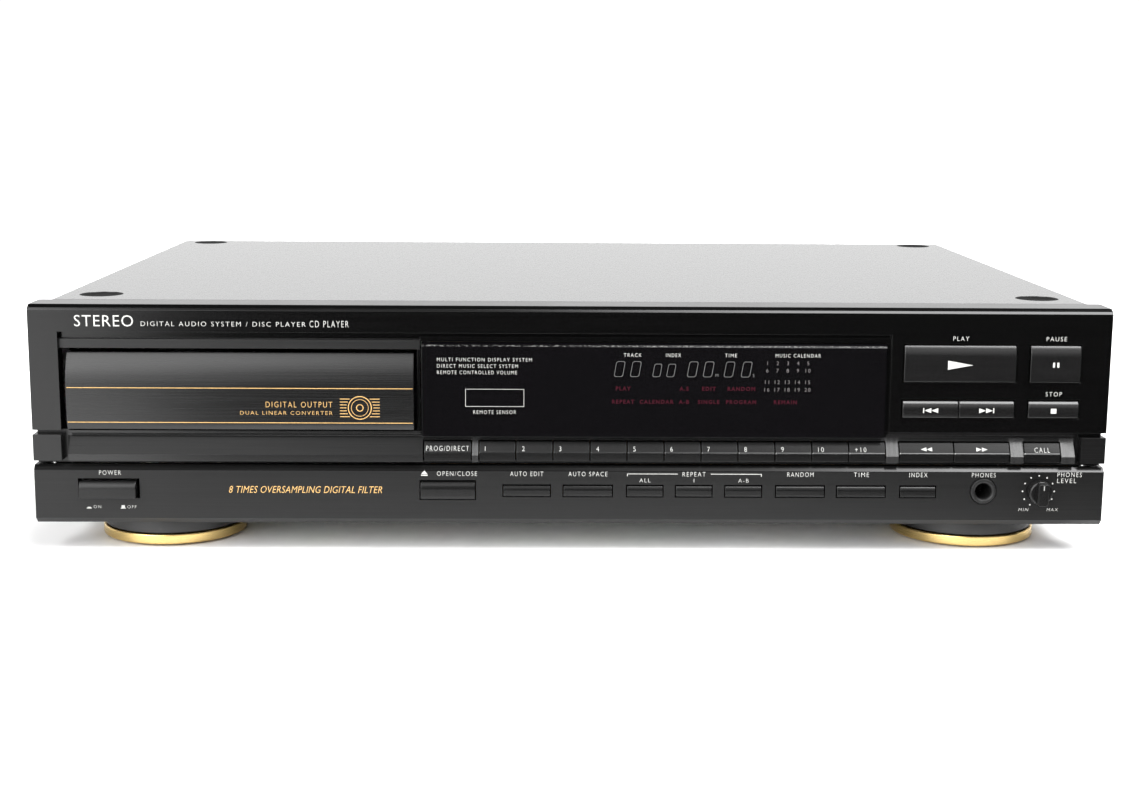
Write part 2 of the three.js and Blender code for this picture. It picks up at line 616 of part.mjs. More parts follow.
// Rack teeth point to +X. A tooth gap of the rack faces the gear's tooth at rest.
function rackTeeth() {
  const teeth = [];
  const phase = (GEAR_Y - RACK_START) % TOOTH_PITCH;
  for (let i = 0; i < RACK_TEETH; i += 1) {
    const y = RACK_START + phase + (i - 0.5) * TOOTH_PITCH;
    const outline = [
      [RACK_FACE - 0.5, y - TOOTH_ROOT_HALF], [RACK_FACE, y - TOOTH_ROOT_HALF],
      [RACK_FACE + TOOTH_DEPTH, y - TOOTH_TIP_HALF], [RACK_FACE + TOOTH_DEPTH, y + TOOTH_TIP_HALF],
      [RACK_FACE, y + TOOTH_ROOT_HALF], [RACK_FACE - 0.5, y + TOOTH_ROOT_HALF],
    ];
    teeth.push(prismZ(outline, [RACK_BOTTOM, DRAWER_BOTTOM + 0.5]));
  }
  return teeth;
}

function addDiscTray() {
  const left = DRAWER_X - DRAWER_HALF;
  const right = DRAWER_X + DRAWER_HALF;
  const front = FRONT_THICK + GAP;
  const above = DRAWER_TOP + 1;
  const plate = box([left, right], [front, DRAWER_BACK], [DRAWER_BOTTOM, DRAWER_TOP]);
  const shaped = cut(
    plate,
    rodZ(DISC_RADIUS, [DISC_BED, above], DRAWER_X, HUB_Y, 48),
    rodZ(SMALL_DISC_RADIUS, [SMALL_DISC_BED, above], DRAWER_X, HUB_Y, 36),
    rodZ(SLOT_HALF, [DRAWER_BOTTOM - 1, above], DRAWER_X, HUB_Y, 24),
    box([DRAWER_X - SLOT_HALF, DRAWER_X + SLOT_HALF], [HUB_Y, DRAWER_BACK + 1], [DRAWER_BOTTOM - 1, above]),
  );
  place('disc_tray', join(
    shaped,
    box([left, left + RUNNER_WIDTH], [front, DRAWER_BACK], [RUNNER_BOTTOM, DRAWER_BOTTOM + 1]),
    box([right - RUNNER_WIDTH, right], [front, DRAWER_BACK], [RUNNER_BOTTOM, DRAWER_BOTTOM + 1]),
    box([RACK_FACE - RUNNER_WIDTH, RACK_FACE], [front, DRAWER_BACK - 4], [RACK_BOTTOM, DRAWER_BOTTOM + 1]),
    ...rackTeeth(),
  ), 0x202122, 0.6, 0);
}

function addTrayFront() {
  const slope = [];
  for (const t of [0.25, 0.5, 0.75, 1]) {
    slope.push([FRONT_LEAN * t * t, FRONT_EDGE + (FRONT_TOP - FRONT_EDGE) * t]);
  }
  const section = [
    [FRONT_THICK, FRONT_BOTTOM], [0.9, FRONT_BOTTOM], [0, FRONT_LIP], [0, FRONT_EDGE], ...slope,
    [FRONT_THICK, FRONT_TOP],
  ];
  place('tray_front', prismX(section, [FRONT_LEFT, FRONT_RIGHT]), 0x232425, 0.35, 0.5);
}

function addTrayGear() {
  const outline = [];
  const root = PITCH_RADIUS - 1.15;
  const tip = PITCH_RADIUS + 0.85;
  for (let i = 0; i < GEAR_TEETH; i += 1) {
    const middle = Math.PI + (i * 2 * Math.PI) / GEAR_TEETH;
    const tooth = [
      [root, -TOOTH_ROOT_HALF], [tip, -TOOTH_TIP_HALF], [tip, TOOTH_TIP_HALF], [root, TOOTH_ROOT_HALF]];
    for (const [radius, width] of tooth) {
      const angle = middle + width / PITCH_RADIUS;
      outline.push([GEAR_X + radius * Math.cos(angle), GEAR_Y + radius * Math.sin(angle)]);
    }
  }
  const wheel = prismZ(outline, GEAR_Z);
  const boss = rodZ(GEAR_BORE + 2.2, [PULLEY_Z[0], GEAR_Z[0] + 0.6], GEAR_X, GEAR_Y, 16);
  const pulley = rodZ(PULLEY_RADIUS, PULLEY_Z, GEAR_X, GEAR_Y, 24);
  const bore = rodZ(GEAR_BORE, [PULLEY_Z[0] - 1, GEAR_Z[1] + 1.6], GEAR_X, GEAR_Y, 16);
  place('tray_gear', cut(join(wheel, boss, pulley), bore), 0xd8d5c8, 0.5, 0);
}

function loaderSide(side) {
  const range = (a, b) => [DRAWER_X + side * a, DRAWER_X + side * b].sort((p, q) => p - q);
  const length = [LOADER_FRONT, LOADER_BACK];
  const root = LOADER_INNER + 0.5;
  return [
    box(range(LOADER_INNER, LOADER_HALF), length, [LOADER_BASE, LOADER_TOP]),
    box(range(SHELF.inner, root), length, [SHELF.bottom, RUNNER_BOTTOM - GAP]),
    box(range(SHELF.guide, root), length, [DRAWER_TOP + GAP, SHELF.top]),
  ];
}

function hingeLug(left) {
  return box([left, left + LUG_WIDTH], [HINGE.y - 6, HINGE.y + 6], [LOADER_BASE + 1, HINGE.z + 6]);
}

function addLoaderFrame() {
  const base = box(
    [DRAWER_X - LOADER_HALF, DRAWER_X + LOADER_HALF], [LOADER_FRONT, LOADER_BACK],
    [LOADER_BASE, LOADER_BASE + 3]);
  const well = box(
    [DRAWER_X - WELL_HALF, DRAWER_X + WELL_HALF], [58, 166], [LOADER_BASE - 1, LOADER_BASE + 4]);
  const body = join(
    cut(base, well), ...loaderSide(-1), ...loaderSide(1),
    hingeLug(DRAWER_X - WELL_HALF - LUG_WIDTH), hingeLug(DRAWER_X + WELL_HALF),
    rodZ(GEAR_BORE - GAP, [LOADER_BASE + 1, GEAR_Z[1] - 0.4], GEAR_X, GEAR_Y, 16),
    rodZ(GEAR_BOSS, [LOADER_BASE + 1, PULLEY_Z[0] - GAP], GEAR_X, GEAR_Y, 16),
  );
  const lugEnd = WELL_HALF + LUG_WIDTH + 3;
  const hingeBore = rodX(HINGE_PIN + GAP, [DRAWER_X - lugEnd, DRAWER_X + lugEnd], HINGE.y, HINGE.z, 16);
  place('loader_frame', cut(body, hingeBore), 0x2a2a2c, 0.6, 0);
}

function addClamp() {
  const y = [HUB_Y - BRIDGE_HALF_LENGTH, HUB_Y + BRIDGE_HALF_LENGTH];
  const leg = (side) => {
    const x = [DRAWER_X + side * LOADER_INNER, DRAWER_X + side * LOADER_HALF].sort((a, b) => a - b);
    return box(x, y, [LOADER_TOP + GAP, BRIDGE_TOP]);
  };
  const plate = box(
    [DRAWER_X - LOADER_HALF, DRAWER_X + LOADER_HALF], y, [BRIDGE_TOP - BRIDGE_THICK, BRIDGE_TOP]);
  const rib = (dy) => box([DRAWER_X - 60, DRAWER_X + 60], [HUB_Y + dy - 1, HUB_Y + dy + 1],
    [BRIDGE_TOP - 1, BRIDGE_TOP + 3]);
  const hole = rodZ(PUCK.neck + 0.5, [BRIDGE_TOP - 4, BRIDGE_TOP + 2], DRAWER_X, HUB_Y, 24);
  const bridge = join(plate, leg(-1), leg(1), rib(-RIB_OFFSET), rib(RIB_OFFSET));
  place('clamp_bridge', cut(bridge, hole), 0xb9bcbd, 0.4, 0.8);
  const puck = [
    [0, PUCK_BOTTOM + 2], [5, PUCK_BOTTOM + 2], [7.6, PUCK_BOTTOM + 0.4], [9, PUCK_BOTTOM],
    [PUCK.disc, PUCK_BOTTOM], [PUCK.disc, PUCK_BOTTOM + 3.5], [PUCK.neck, PUCK_BOTTOM + 4],
    [PUCK.neck, BRIDGE_TOP + 0.4], [PUCK.flange, BRIDGE_TOP + 0.4], [PUCK.flange, BRIDGE_TOP + 3],
    [0, BRIDGE_TOP + 3],
  ];
  place('clamp_puck', turned(puck, DRAWER_X, HUB_Y, 20), 0x151516, 0.5, 0);
}

function addTraverse() {
  const bottom = TRAVERSE_TOP - TRAVERSE_THICK;
  const plate = box(
    [DRAWER_X - TRAVERSE_HALF, DRAWER_X + TRAVERSE_HALF], [60, HINGE.y], [bottom, TRAVERSE_TOP]);
  const window = box([DRAWER_X - 13, DRAWER_X + 13], [96, 160], [bottom - 1, TRAVERSE_TOP + 1]);
  const { x: offset, z: railZ, radius } = SLED_RAIL;
  const rails = [-offset, offset].map((dx) => rodY(radius, SLED_RAIL_Y, DRAWER_X + dx, railZ, 12));
  const brackets = [SLED_RAIL_Y[0] - 2, SLED_RAIL_Y[1] - 2].map(
    (y) => box([DRAWER_X - offset - 4, DRAWER_X + offset + 4], [y, y + 4], [bottom + 1, railZ + 2.5]));
  const motor = rodZ(12, [31, bottom + 1], DRAWER_X, HUB_Y, 20);
  const pinEnd = WELL_HALF + LUG_WIDTH + 2;
  const pin = rodX(HINGE_PIN, [DRAWER_X - pinEnd, DRAWER_X + pinEnd], HINGE.y, HINGE.z, 16);
  const shaftBore = rodZ(SPINDLE.shaft + GAP, [SPINDLE.bottom - 1, SPINDLE.under], DRAWER_X, HUB_Y, 12);
  const body = join(cut(plate, window), ...rails, ...brackets, motor, pin);
  place('traverse_base', cut(body, shaftBore), 0x8d9093, 0.45, 0.7);
}

function addSpindle() {
  const { shaft, bottom, neck, disc, hub, under } = SPINDLE;
  const profile = [
    [0, bottom], [shaft, bottom], [shaft, under], [neck, under], [neck, under + 2.5], [disc, under + 3],
    [disc, DISC_SEAT], [hub, DISC_SEAT], [hub, DISC_SEAT + 1.2], [4.5, DISC_SEAT + 3], [0, DISC_SEAT + 3],
  ];
  place('spindle', turned(profile, DRAWER_X, HUB_Y, 20), 0x1b1b1c, 0.5, 0);
}

function addPickupSled() {
  const y = [LENS_Y - 4.5, LENS_Y + 22];
  const { x: offset, z: railZ, radius } = SLED_RAIL;
  const body = box([DRAWER_X - SLED_HALF, DRAWER_X + SLED_HALF], y, [44.8, 58]);
  const wings = box([DRAWER_X - SLED_WING, DRAWER_X + SLED_WING], [y[0] + 1, y[1] - 1], [48.2, 54.5]);
  const head = box([DRAWER_X - 9, DRAWER_X + 9], [y[0], LENS_Y + 14], [57, 60]);
  const lens = rodZ(3.6, [59, 61.6], DRAWER_X, LENS_Y, 20);
  const bores = [-offset, offset].map((dx) => rodY(radius + GAP, [80, 140], DRAWER_X + dx, railZ, 12));
  place('pickup_sled', cut(join(body, wings, head, lens), ...bores), 0x303134, 0.5, 0.1);
}

// ---------------------------------------------------------------- electronics

function addMainBoard() {
  const top = BOARD_BOTTOM + BOARD_THICK;
  const base = top - 0.4;
  const [left, right] = HEAT_SINK.x;
  const fins = [0, 1, 2, 3].map((i) => {
    const y = HEAT_SINK.y[0] + 2 + i * HEAT_SINK.pitch;
    return box([right - 1, right + HEAT_SINK.fin], [y, y + 3], [base, HEAT_SINK.top]);
  });
  place('main_board', join(
    prismZ(BOARD_OUTLINE, [BOARD_BOTTOM, top]),
    ...CAPACITORS.map(([x, y, radius, height]) => rodZ(radius, [base, top + height], x, y, 12)),
    ...SMALL_CAPACITORS.map(([x, y]) => rodZ(3.5, [base, top + 9], x, y, 8)),
    ...CHIPS.map(([x, y, width, depth]) => box([x, x + width], [y, y + depth], [base, top + 3])),
    box([left, right], HEAT_SINK.y, [base, HEAT_SINK.top]),
    ...fins,
  ), 0x7a6a3a, 0.6, 0);
}

// The core's stack of sheets, the winding that shows at its front and back, and the mounting foot.
function addTransformer() {
  const floor = BASE + SHEET + GAP;
  place('transformer', join(
    box(CORE.x, CORE.y, [floor + 4, floor + 52]),
    box([CORE.x[0] + 9, CORE.x[1] - 9], [CORE.y[0] - 12, CORE.y[1] + 12], [floor + 13, floor + 43]),
    box([CORE.x[0] - 8, CORE.x[1] + 5], [CORE.y[0] + 12, CORE.y[1] - 12], [floor, floor + 5]),
  ), 0x5b5d60, 0.5, 0.6);
}

function addFrontBoard() {
  const board = box(FRONT_BOARD.x, [BOARD_FRONT, BOARD_FRONT + BOARD_THICK], FRONT_BOARD.z);
  const keys = [...UPPER_KEYS, ...LOWER_KEYS, ...RAIL_KEYS];
  const switches = keys.map(({ middle: [x, z] }) => {
    const { x: halfX, z: halfZ } = SWITCH_HALF;
    return box([x - halfX, x + halfX], [SWITCH_FRONT, BOARD_FRONT + 0.5], [z - halfZ, z + halfZ]);
  });
  const potentiometer = box(
    [KNOB.x - POT_HALF, KNOB.x + POT_HALF], [POT_FRONT, BOARD_FRONT + 0.5],
    [KNOB.z - POT_HALF, KNOB.z + POT_HALF]);
  const jackHole = box(
    [JACK.x - JACK_BODY.x - 1, JACK.x + JACK_BODY.x + 1], [PLATE, BOARD_FRONT + BOARD_THICK + 1],
    [FRONT_BOARD.z[0] - 1, JACK.z + JACK_BODY.z + 2]);
  place('front_board', cut(join(board, ...switches, potentiometer), jackHole), 0x7a6a3a, 0.6, 0);
}

function addDisplayTube() {
  const { x: [x0, x1], z: [z0, z1], corner } = TUBE;
  const outline = [
    [x0, z0 + corner], [x0 + corner, z0], [x1 - corner, z0], [x1, z0 + corner],
    [x1, z1 - corner], [x1 - corner, z1], [x0 + corner, z1], [x0, z1 - corner]];
  place('display_tube', prismY(outline, TUBE.y), 0x2b3236, 0.1, 0);
}

function addPhonesJack() {
  const bush = rodY(JACK_RING, [-0.9, PLATE + 1], JACK.x, JACK.z, 28);
  const body = box(
    [JACK.x - JACK_BODY.x, JACK.x + JACK_BODY.x], [PLATE + GAP, JACK_BODY.back],
    [JACK.z - JACK_BODY.z, JACK.z + JACK_BODY.z]);
  const bore = rodY(JACK_BORE, [-2, JACK_BODY.back - 3], JACK.x, JACK.z, 20);
  place('phones_jack', cut(join(bush, body), bore), 0x161617, 0.4, 0.1);
}

function addLevelKnob() {
  const grip = KNOB_GRIP / 2;
  const reach = KNOB_RADIUS - 0.55;
  place('level_knob', join(
    rodY(KNOB_RADIUS, KNOB_SKIRT, KNOB.x, KNOB.z, 28),
    box([KNOB.x - grip, KNOB.x + grip], [KNOB_FRONT, KNOB_SKIRT[0] + 0.5], [KNOB.z - reach, KNOB.z + reach]),
    rodY(KNOB_SHAFT, [-1, POT_FRONT - GAP], KNOB.x, KNOB.z, 16),
  ), 0x1c1d1e, 0.5, 0.1);
}

function addOutputJacks() {
  const depth = [SOCKET_BLOCK_FRONT, REAR_PANEL_Y - GAP];
  const block = join(
    box(ANALOGUE_BLOCK.x, depth, ANALOGUE_BLOCK.z),
    box(DIGITAL_BLOCK.x, depth, DIGITAL_BLOCK.z),
  );
  const rim = BACK + 0.4;
  const sleeves = SOCKETS.flatMap(([x, z]) => [
    rodY(SOCKET_RADIUS, [REAR_PANEL_Y - 1, rim], x, z, 12),
    rodY(SOCKET_SLEEVE, [rim - 1, SOCKET_END], x, z, 12),
  ]);
  const bores = SOCKETS.map(([x, z]) => rodY(SOCKET_BORE, [rim - 2, SOCKET_END + 1], x, z, 8));
  place('output_jacks', cut(join(block, ...sleeves), ...bores), 0x1a1a1b, 0.5, 0);
}

// The cord drops from its bush to the floor, runs along behind the case, turns back and ends in the plug.
function cordPath(far) {
  const near = BACK + 14.4;
  const floor = CORD_RADIUS + 0.5;
  const turn = -32;
  return new THREE.CatmullRomCurve3([
    [CORD_X, 290, CORD_Z], [CORD_X, 303, CORD_Z - 1], [CORD_X - 7, near, 17], [CORD_X - 20, near, 6.5],
    [CORD_X - 36, near, floor], [100, near, floor], [0, near, floor], [turn + 8, near + 2.5, floor],
    [turn, (near + far) / 2, floor], [turn + 8, far - 2.5, floor], [0, far, floor], [90, far, floor],
  ].map(([x, y, z]) => new THREE.Vector3(x, y, z)), false, 'centripetal');
}

function plugBody(far) {
  const [left, right] = PLUG.x;
  const front = far - PLUG.half;
  return prismZ([
    [left, far - 4.5], [left + 8, front], [right - 6, front], [right, far - 5], [right, far + 5],
    [right - 6, far + PLUG.half], [left + 8, far + PLUG.half], [left, far + 4.5],
  ], [0.1, PLUG.height]);
}

function addPowerCord() {
  const far = CORD_BACK - PLUG.half - 0.5;
  const ring = arc([0, 0], CORD_RADIUS, 0, 360, 8).slice(0, 8);
  const shape = new THREE.Shape(ring.map(([u, v]) => new THREE.Vector2(u, v)));
  const cable = solidOf(new THREE.ExtrudeGeometry(shape, { steps: 42, extrudePath: cordPath(far) }));
  const pins = [-PLUG_PIN.offset, PLUG_PIN.offset].map(
    (dy) => rodX(PLUG_PIN.radius, [PLUG.x[1] - 1, PLUG_PIN.end], far + dy, PLUG_PIN.z, 12));
  place('power_cord', join(
    cable,
    rodY(CORD_BUSH.neck, [289, 295.5], CORD_X, CORD_Z),
    rodY(CORD_BUSH.flange, [REAR_PANEL_Y + SHEET + GAP, 298], CORD_X, CORD_Z),
    rodY(CORD_BUSH.tail, [297, 303], CORD_X, CORD_Z),
    plugBody(far),
    ...pins,
  ), 0x111111, 0.6, 0);
}

addChassis();
addRearPanel();
addTopCover();
addUpperFascia();
addButtonRail();
addLowerFascia();
addDisplayWindow();
addFeet();
addKeys();
addLevelKnob();
addPhonesJack();
addDiscTray();
addTrayFront();
addTrayGear();
addLoaderFrame();
addClamp();
addTraverse();
addSpindle();
addPickupSled();
addMainBoard();
addTransformer();
addFrontBoard();
addDisplayTube();
addOutputJacks();
addPowerCord();

export default player;
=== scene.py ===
"""Looks of the CD player: finishes, printing, fine pieces, studio and camera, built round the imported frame.

Sizes are in millimetres on the frame's axes (X right, Y back, Z up), and become metres when a mesh is made.
Every place is worked out from the boxes of the frame's nodes.
"""

import math

import bpy
from mathutils import Matrix, Vector


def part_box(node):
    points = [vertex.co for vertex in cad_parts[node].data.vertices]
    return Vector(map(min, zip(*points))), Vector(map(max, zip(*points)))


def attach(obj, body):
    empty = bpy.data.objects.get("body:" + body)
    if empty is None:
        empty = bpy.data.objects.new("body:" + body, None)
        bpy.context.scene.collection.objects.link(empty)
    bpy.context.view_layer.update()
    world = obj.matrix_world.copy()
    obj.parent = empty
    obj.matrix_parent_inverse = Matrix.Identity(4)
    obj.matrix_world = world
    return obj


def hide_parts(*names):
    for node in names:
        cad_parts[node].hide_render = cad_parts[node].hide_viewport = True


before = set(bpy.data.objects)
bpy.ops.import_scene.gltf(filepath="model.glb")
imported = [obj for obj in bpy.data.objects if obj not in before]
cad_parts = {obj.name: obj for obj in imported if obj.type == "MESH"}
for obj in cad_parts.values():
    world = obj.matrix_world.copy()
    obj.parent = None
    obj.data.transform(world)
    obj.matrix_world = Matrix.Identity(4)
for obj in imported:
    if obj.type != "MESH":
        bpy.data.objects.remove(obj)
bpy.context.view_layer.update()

MM = 0.001
NEAR = 0.05                 # corners this close to a height count as lying on it
PRINT_LIFT = 0.03           # how far printing stands in front of its face

SIDES = ("left", "right")
RAIL_NUMBERS = {**{f"number_{i}": str(i) for i in range(1, 11)}, "plus_ten": "+10"}
RAIL_KEYS = [*RAIL_NUMBERS, "program", "call", "search_back", "search_forward"]


def extent(node):
    """Lowest and highest corner of a frame node, in millimetres."""
    low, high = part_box(node)
    return low / MM, high / MM


def middle(node):
    low, high = extent(node)
    return (low + high) / 2


def slope_of_rail_keys():
    """(y, z) of the foot and of the head of the rail keys' leaning face, found from a key's mesh."""
    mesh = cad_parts["number_1_button"].data
    corners = {(round(v.co.y / MM, 2), round(v.co.z / MM, 2)) for v in mesh.vertices}
    front = min(y for y, z in corners)
    edge = max(z for y, z in corners if y < front + NEAR)
    top = max(z for y, z in corners)
    lean = min(y for y, z in corners if z > top - NEAR)
    return (front, edge), (lean, top)


SLOPE_FOOT, SLOPE_HEAD = slope_of_rail_keys()

# ---- finishes

NOISE_BAND = (0.3, 0.7)             # most of a noise's values lie in here
LONG = 60                           # period along a stretched pattern's lines
HAIR_LINES = (LONG, LONG, 0.22)     # brushing along X: as good as constant along it, fine across it
STREAKS = {"detail": 4, "roughness": 0.7}


class Graph:
    """A shader tree, with short calls that add nodes and link them."""

    def __init__(self, tree):
        self.tree = tree

    def node(self, kind, settings=None, inputs=None):
        made = self.tree.nodes.new("ShaderNode" + kind)
        for key, value in (settings or {}).items():
            setattr(made, key, value)
        for key, value in (inputs or {}).items():
            self.feed(made.inputs[key], value)
        return made

    def out(self, *details):
        """The first output of a new node."""
        return self.node(*details).outputs[0]

    def feed(self, socket, value):
        if isinstance(value, bpy.types.NodeSocket):
            self.tree.links.new(value, socket)
        elif socket.type == "RGBA":
            socket.default_value = rgb(value)
        else:
            socket.default_value = value

    def math(self, operation, a, b=0.0):
        return self.out("Math", {"operation": operation}, {0: a, 1: b})

    def times(self, product, *others):
        for other in others:
            product = self.math("MULTIPLY", product, other)
        return product

    def above(self, value, limit):
        return self.math("GREATER_THAN", value, limit)

    def below(self, value, limit):
        return self.math("LESS_THAN", value, limit)

    def between(self, value, low, high):
        return self.times(self.above(value, low), self.below(value, high))

    def away(self, value, centre):
        return self.math("ABSOLUTE", self.math("SUBTRACT", value, centre))

    def span(self, value, low, high, start=0.0, end=1.0, smooth=False):
        """Maps start..end of a value to low..high."""
        kind = {"interpolation_type": "SMOOTHSTEP" if smooth else "LINEAR"}
        return self.out("MapRange", kind, {0: value, 1: start, 2: end, 3: low, 4: high})

    def spread(self, noise, low=0, high=1):
        """Maps the usual range of a noise to low..high."""
        return self.span(noise, low, high, *NOISE_BAND)

    def mix(self, amount, a, b):
        return self.node("Mix", {"data_type": "RGBA"}, {0: amount, 6: a, 7: b}).outputs[2]


class Finish(Graph):
    """A Principled material whose patterns follow the object's own coordinates, in millimetres."""

    def __init__(self, name, **values):
        self.material = bpy.data.materials.new(name)
        self.material.use_nodes = True
        super().__init__(self.material.node_tree)
        self.shader = self.tree.nodes["Principled BSDF"]
        inputs = {0: self.node("TexCoord").outputs["Object"], "Scale": 1 / MM}
        self.place = self.out("VectorMath", {"operation": "SCALE"}, inputs)
        for key, value in values.items():
            self.put(key.replace("_", " ").title(), value)

    def put(self, socket, value):
        name = {"Specular": "Specular IOR Level"}.get(socket, socket)
        self.feed(self.shader.inputs[name], value)

    def paint(self, amount, dark, light):
        self.put("Base Color", self.mix(amount, dark, light))

    def axis(self, name):
        return self.node("SeparateXYZ", None, {0: self.place}).outputs[name]

    def noise(self, period, detail=3, roughness=0.55, place=None):
        """Noise from 0 to 1. The period is in millimetres, one number or one for each axis."""
        periods = period if isinstance(period, tuple) else (period,) * 3
        inputs = {0: place or self.place, 1: [1 / p for p in periods]}
        squeezed = self.out("VectorMath", {"operation": "MULTIPLY"}, inputs)
        inputs = {"Vector": squeezed, "Scale": 1.0, "Detail": detail, "Roughness": roughness}
        return self.out("TexNoise", None, inputs)

    def cells(self, period):
        """A flat random colour for each cell."""
        return self.node("TexVoronoi", None, {"Vector": self.place, "Scale": 1 / period}).outputs["Color"]

    def waves(self, period, direction):
        inputs = {"Vector": self.place, "Scale": math.pi / (10 * period)}
        return self.node("TexWave", {"bands_direction": direction}, inputs).outputs[1]

    def round_place(self):
        """Coordinates that run along the radius, round the circle and along Z of an object turned about Z."""
        x, y, z = (self.axis(name) for name in "XYZ")
        plane = self.out("CombineXYZ", None, {0: x, 1: y})
        radius = self.node("VectorMath", {"operation": "LENGTH"}, {0: plane})
        angle = self.math("ARCTAN2", y, x)
        return self.out("CombineXYZ", None, {0: radius.outputs["Value"], 1: angle, 2: z})

    def emboss(self, height, depth):
        """Lets a height of 0 to 1 bend the surface; depth is in millimetres."""
        self.put("Normal", self.node("Bump", None, {"Height": height, "Distance": depth * MM}).outputs[0])


def rgb(value):
    """A colour with alpha, from a grey number or three channels."""
    channels = (value,) * 3 if isinstance(value, (int, float)) else tuple(value)
    return channels[:3] + (1.0,)


def hair_lines(finish, depth):
    """Noise of fine lines along X, which also bend the surface."""
    hair = finish.noise(HAIR_LINES, **STREAKS)
    finish.emboss(hair, depth)
    return hair


def uneven_gloss(finish, hair, roughness):
    """Roughness that follows the hair lines a little, and broad patches."""
    patch = finish.noise((LONG, LONG, 25), detail=2)
    finish.put("Roughness", finish.math("ADD", finish.spread(hair, -0.04, 0.04),
                                        finish.span(patch, roughness - 0.02, roughness + 0.02)))


def brushed(name, dark, light, roughness, depth=0.003, **values):
    """Anodised metal or hard plastic brushed along X."""
    finish = Finish(name, **values)
    hair = hair_lines(finish, depth)
    finish.paint(finish.spread(hair), dark, light)
    uneven_gloss(finish, hair, roughness)
    return finish.material


def satin(name, dark, light, roughness, grain=0.25, depth=0.006, **values):
    """Moulded or painted surface with a fine grain and faint clouds."""
    finish = Finish(name, **values)
    fine = finish.noise(grain, detail=2)
    cloud = finish.noise(18, detail=3)
    finish.paint(finish.spread(cloud), dark, light)
    finish.put("Roughness", finish.spread(fine, roughness - 0.07, roughness + 0.07))
    finish.emboss(fine, depth)
    return finish.material


def lower_anodise():
    """Black brushing, with a polished chamfer along the top whose specular rises to the right, as a painted
    highlight of the light at the upper right.
    """
    chamfer, dull, polish = 2.0, 0.38, 0.2
    finish = Finish("lower_black")
    finish.paint(finish.spread(hair_lines(finish, 0.005)), 0.003, 0.008)
    polished = finish.above(finish.axis("Z"), extent("lower_fascia")[1].z - chamfer)
    # painted highlight: the chamfer's specular grows towards the right, in place of the light falling from
    # the upper right
    painted_highlight = finish.span(finish.axis("X"), 0.05, 0.43, 60, 188, smooth=True)
    finish.put("Specular", finish.mix(polished, 0.3, painted_highlight))
    finish.put("Roughness", finish.span(polished, dull, polish))
    return finish.material


def rail_key_plastic():
    """Black keys with a painted highlight: a bright line where the leaning face meets the front, brighter to
    the right.
    """
    centre, half = SLOPE_FOOT[1] - 0.15, 0.27
    finish = Finish("rail_key_plastic", specular=0.32)
    hair = hair_lines(finish, 0.0012)
    uneven_gloss(finish, hair, 0.24)
    # painted highlight: a bright metallic band along the edge, growing brighter towards the right
    line = finish.below(finish.away(finish.axis("Z"), centre), half)
    painted_highlight = finish.span(finish.axis("X"), 0.08, 0.62, -10, 170, smooth=True)
    finish.paint(line, finish.spread(hair, 0.003, 0.006), painted_highlight)
    finish.put("Metallic", line)
    return finish.material


def fascia_anodise():
    """Deep black brushed front, with a duller bar across the top of the drawer's bay."""
    finish = Finish("fascia_black", specular=0.43)
    hair = hair_lines(finish, 0.003)
    drawer_low, drawer_high = extent("tray_front")
    low = (drawer_low.x - 2.4, extent("upper_fascia")[0].y + 1.2, drawer_high.z + 1.5)
    high = (extent("display_window")[0].x - 0.5, drawer_high.y, drawer_high.z + 5.9)
    bar = finish.times(*(finish.between(finish.axis(name), *ends)
                         for name, ends in zip("XYZ", zip(low, high))))
    strand = finish.spread(hair)
    finish.paint(bar, finish.mix(strand, 0.0008, 0.002), finish.mix(strand, 0.004, 0.009))
    finish.put("Roughness", finish.math("ADD", finish.spread(hair, 0.15, 0.22), finish.times(bar, 0.2)))
    return finish.material


def rail_anodise():
    """The rail's black brushing, with bright brushed blocks between the groups of keys, whose fronts below
    the leaning face take a darker copy as painted shade.
    """
    finish = Finish("rail_black", roughness=0.25)
    x, height = finish.axis("X"), finish.axis("Z")
    groups = [("program", "program"), ("number_1", "plus_ten"), ("search_back", "search_forward"),
              ("call", "call")]
    spans = [(extent(f"{a}_button")[0].x, extent(f"{b}_button")[1].x) for a, b in groups]
    last = spans[-1][1]
    bright = 0.0
    for left, right in [(a[1], b[0]) for a, b in zip(spans, spans[1:])] + [(last, last + 6.5)]:
        bright = finish.math("ADD", bright, finish.between(x, left, right))
    foot, head = SLOPE_FOOT[1] - 1.3, SLOPE_HEAD[1] + 1.6
    on_slope = finish.between(height, foot, head)
    lit = finish.times(bright, on_slope)
    hair = hair_lines(finish, 0.003)
    strand = finish.spread(finish.noise((0.3, 30, 30), **STREAKS))
    metal, shaded = finish.mix(strand, 0.075, 0.125), finish.mix(strand, 0.012, 0.022)
    sloped = finish.mix(lit, finish.mix(finish.spread(hair), 0.004, 0.009), metal)
    # painted shade: below the leaning face the blocks' fronts take the darker shaded tone instead of their
    # metal
    finish.paint(finish.times(bright, finish.below(height, foot)), sloped, shaded)
    finish.put("Metallic", finish.times(lit, 0.8))
    ledge = finish.times(finish.below(x, spans[0][0]), on_slope)
    shine = finish.mix(finish.above(x, last + 8), finish.mix(ledge, 0.5, 0.16), 0.12)
    finish.put("Specular", finish.mix(finish.below(x, extent("tray_front")[0].x - 1), shine, 0.36))
    return finish.material


def cover_paint():
    """Black baked paint on steel: smooth, with slight orange peel."""
    finish = Finish("cover_paint", metallic=0.0, coat_weight=0.75, coat_roughness=0.12)
    peel = finish.noise(3.0, detail=1)
    dust = finish.noise(0.6, detail=3, roughness=0.6)
    finish.paint(finish.span(dust, 0, 1, 0.5, 0.9), 0.012, 0.02)
    finish.put("Roughness", finish.span(peel, 0.24, 0.3))
    finish.emboss(peel, 0.0008)
    return finish.material


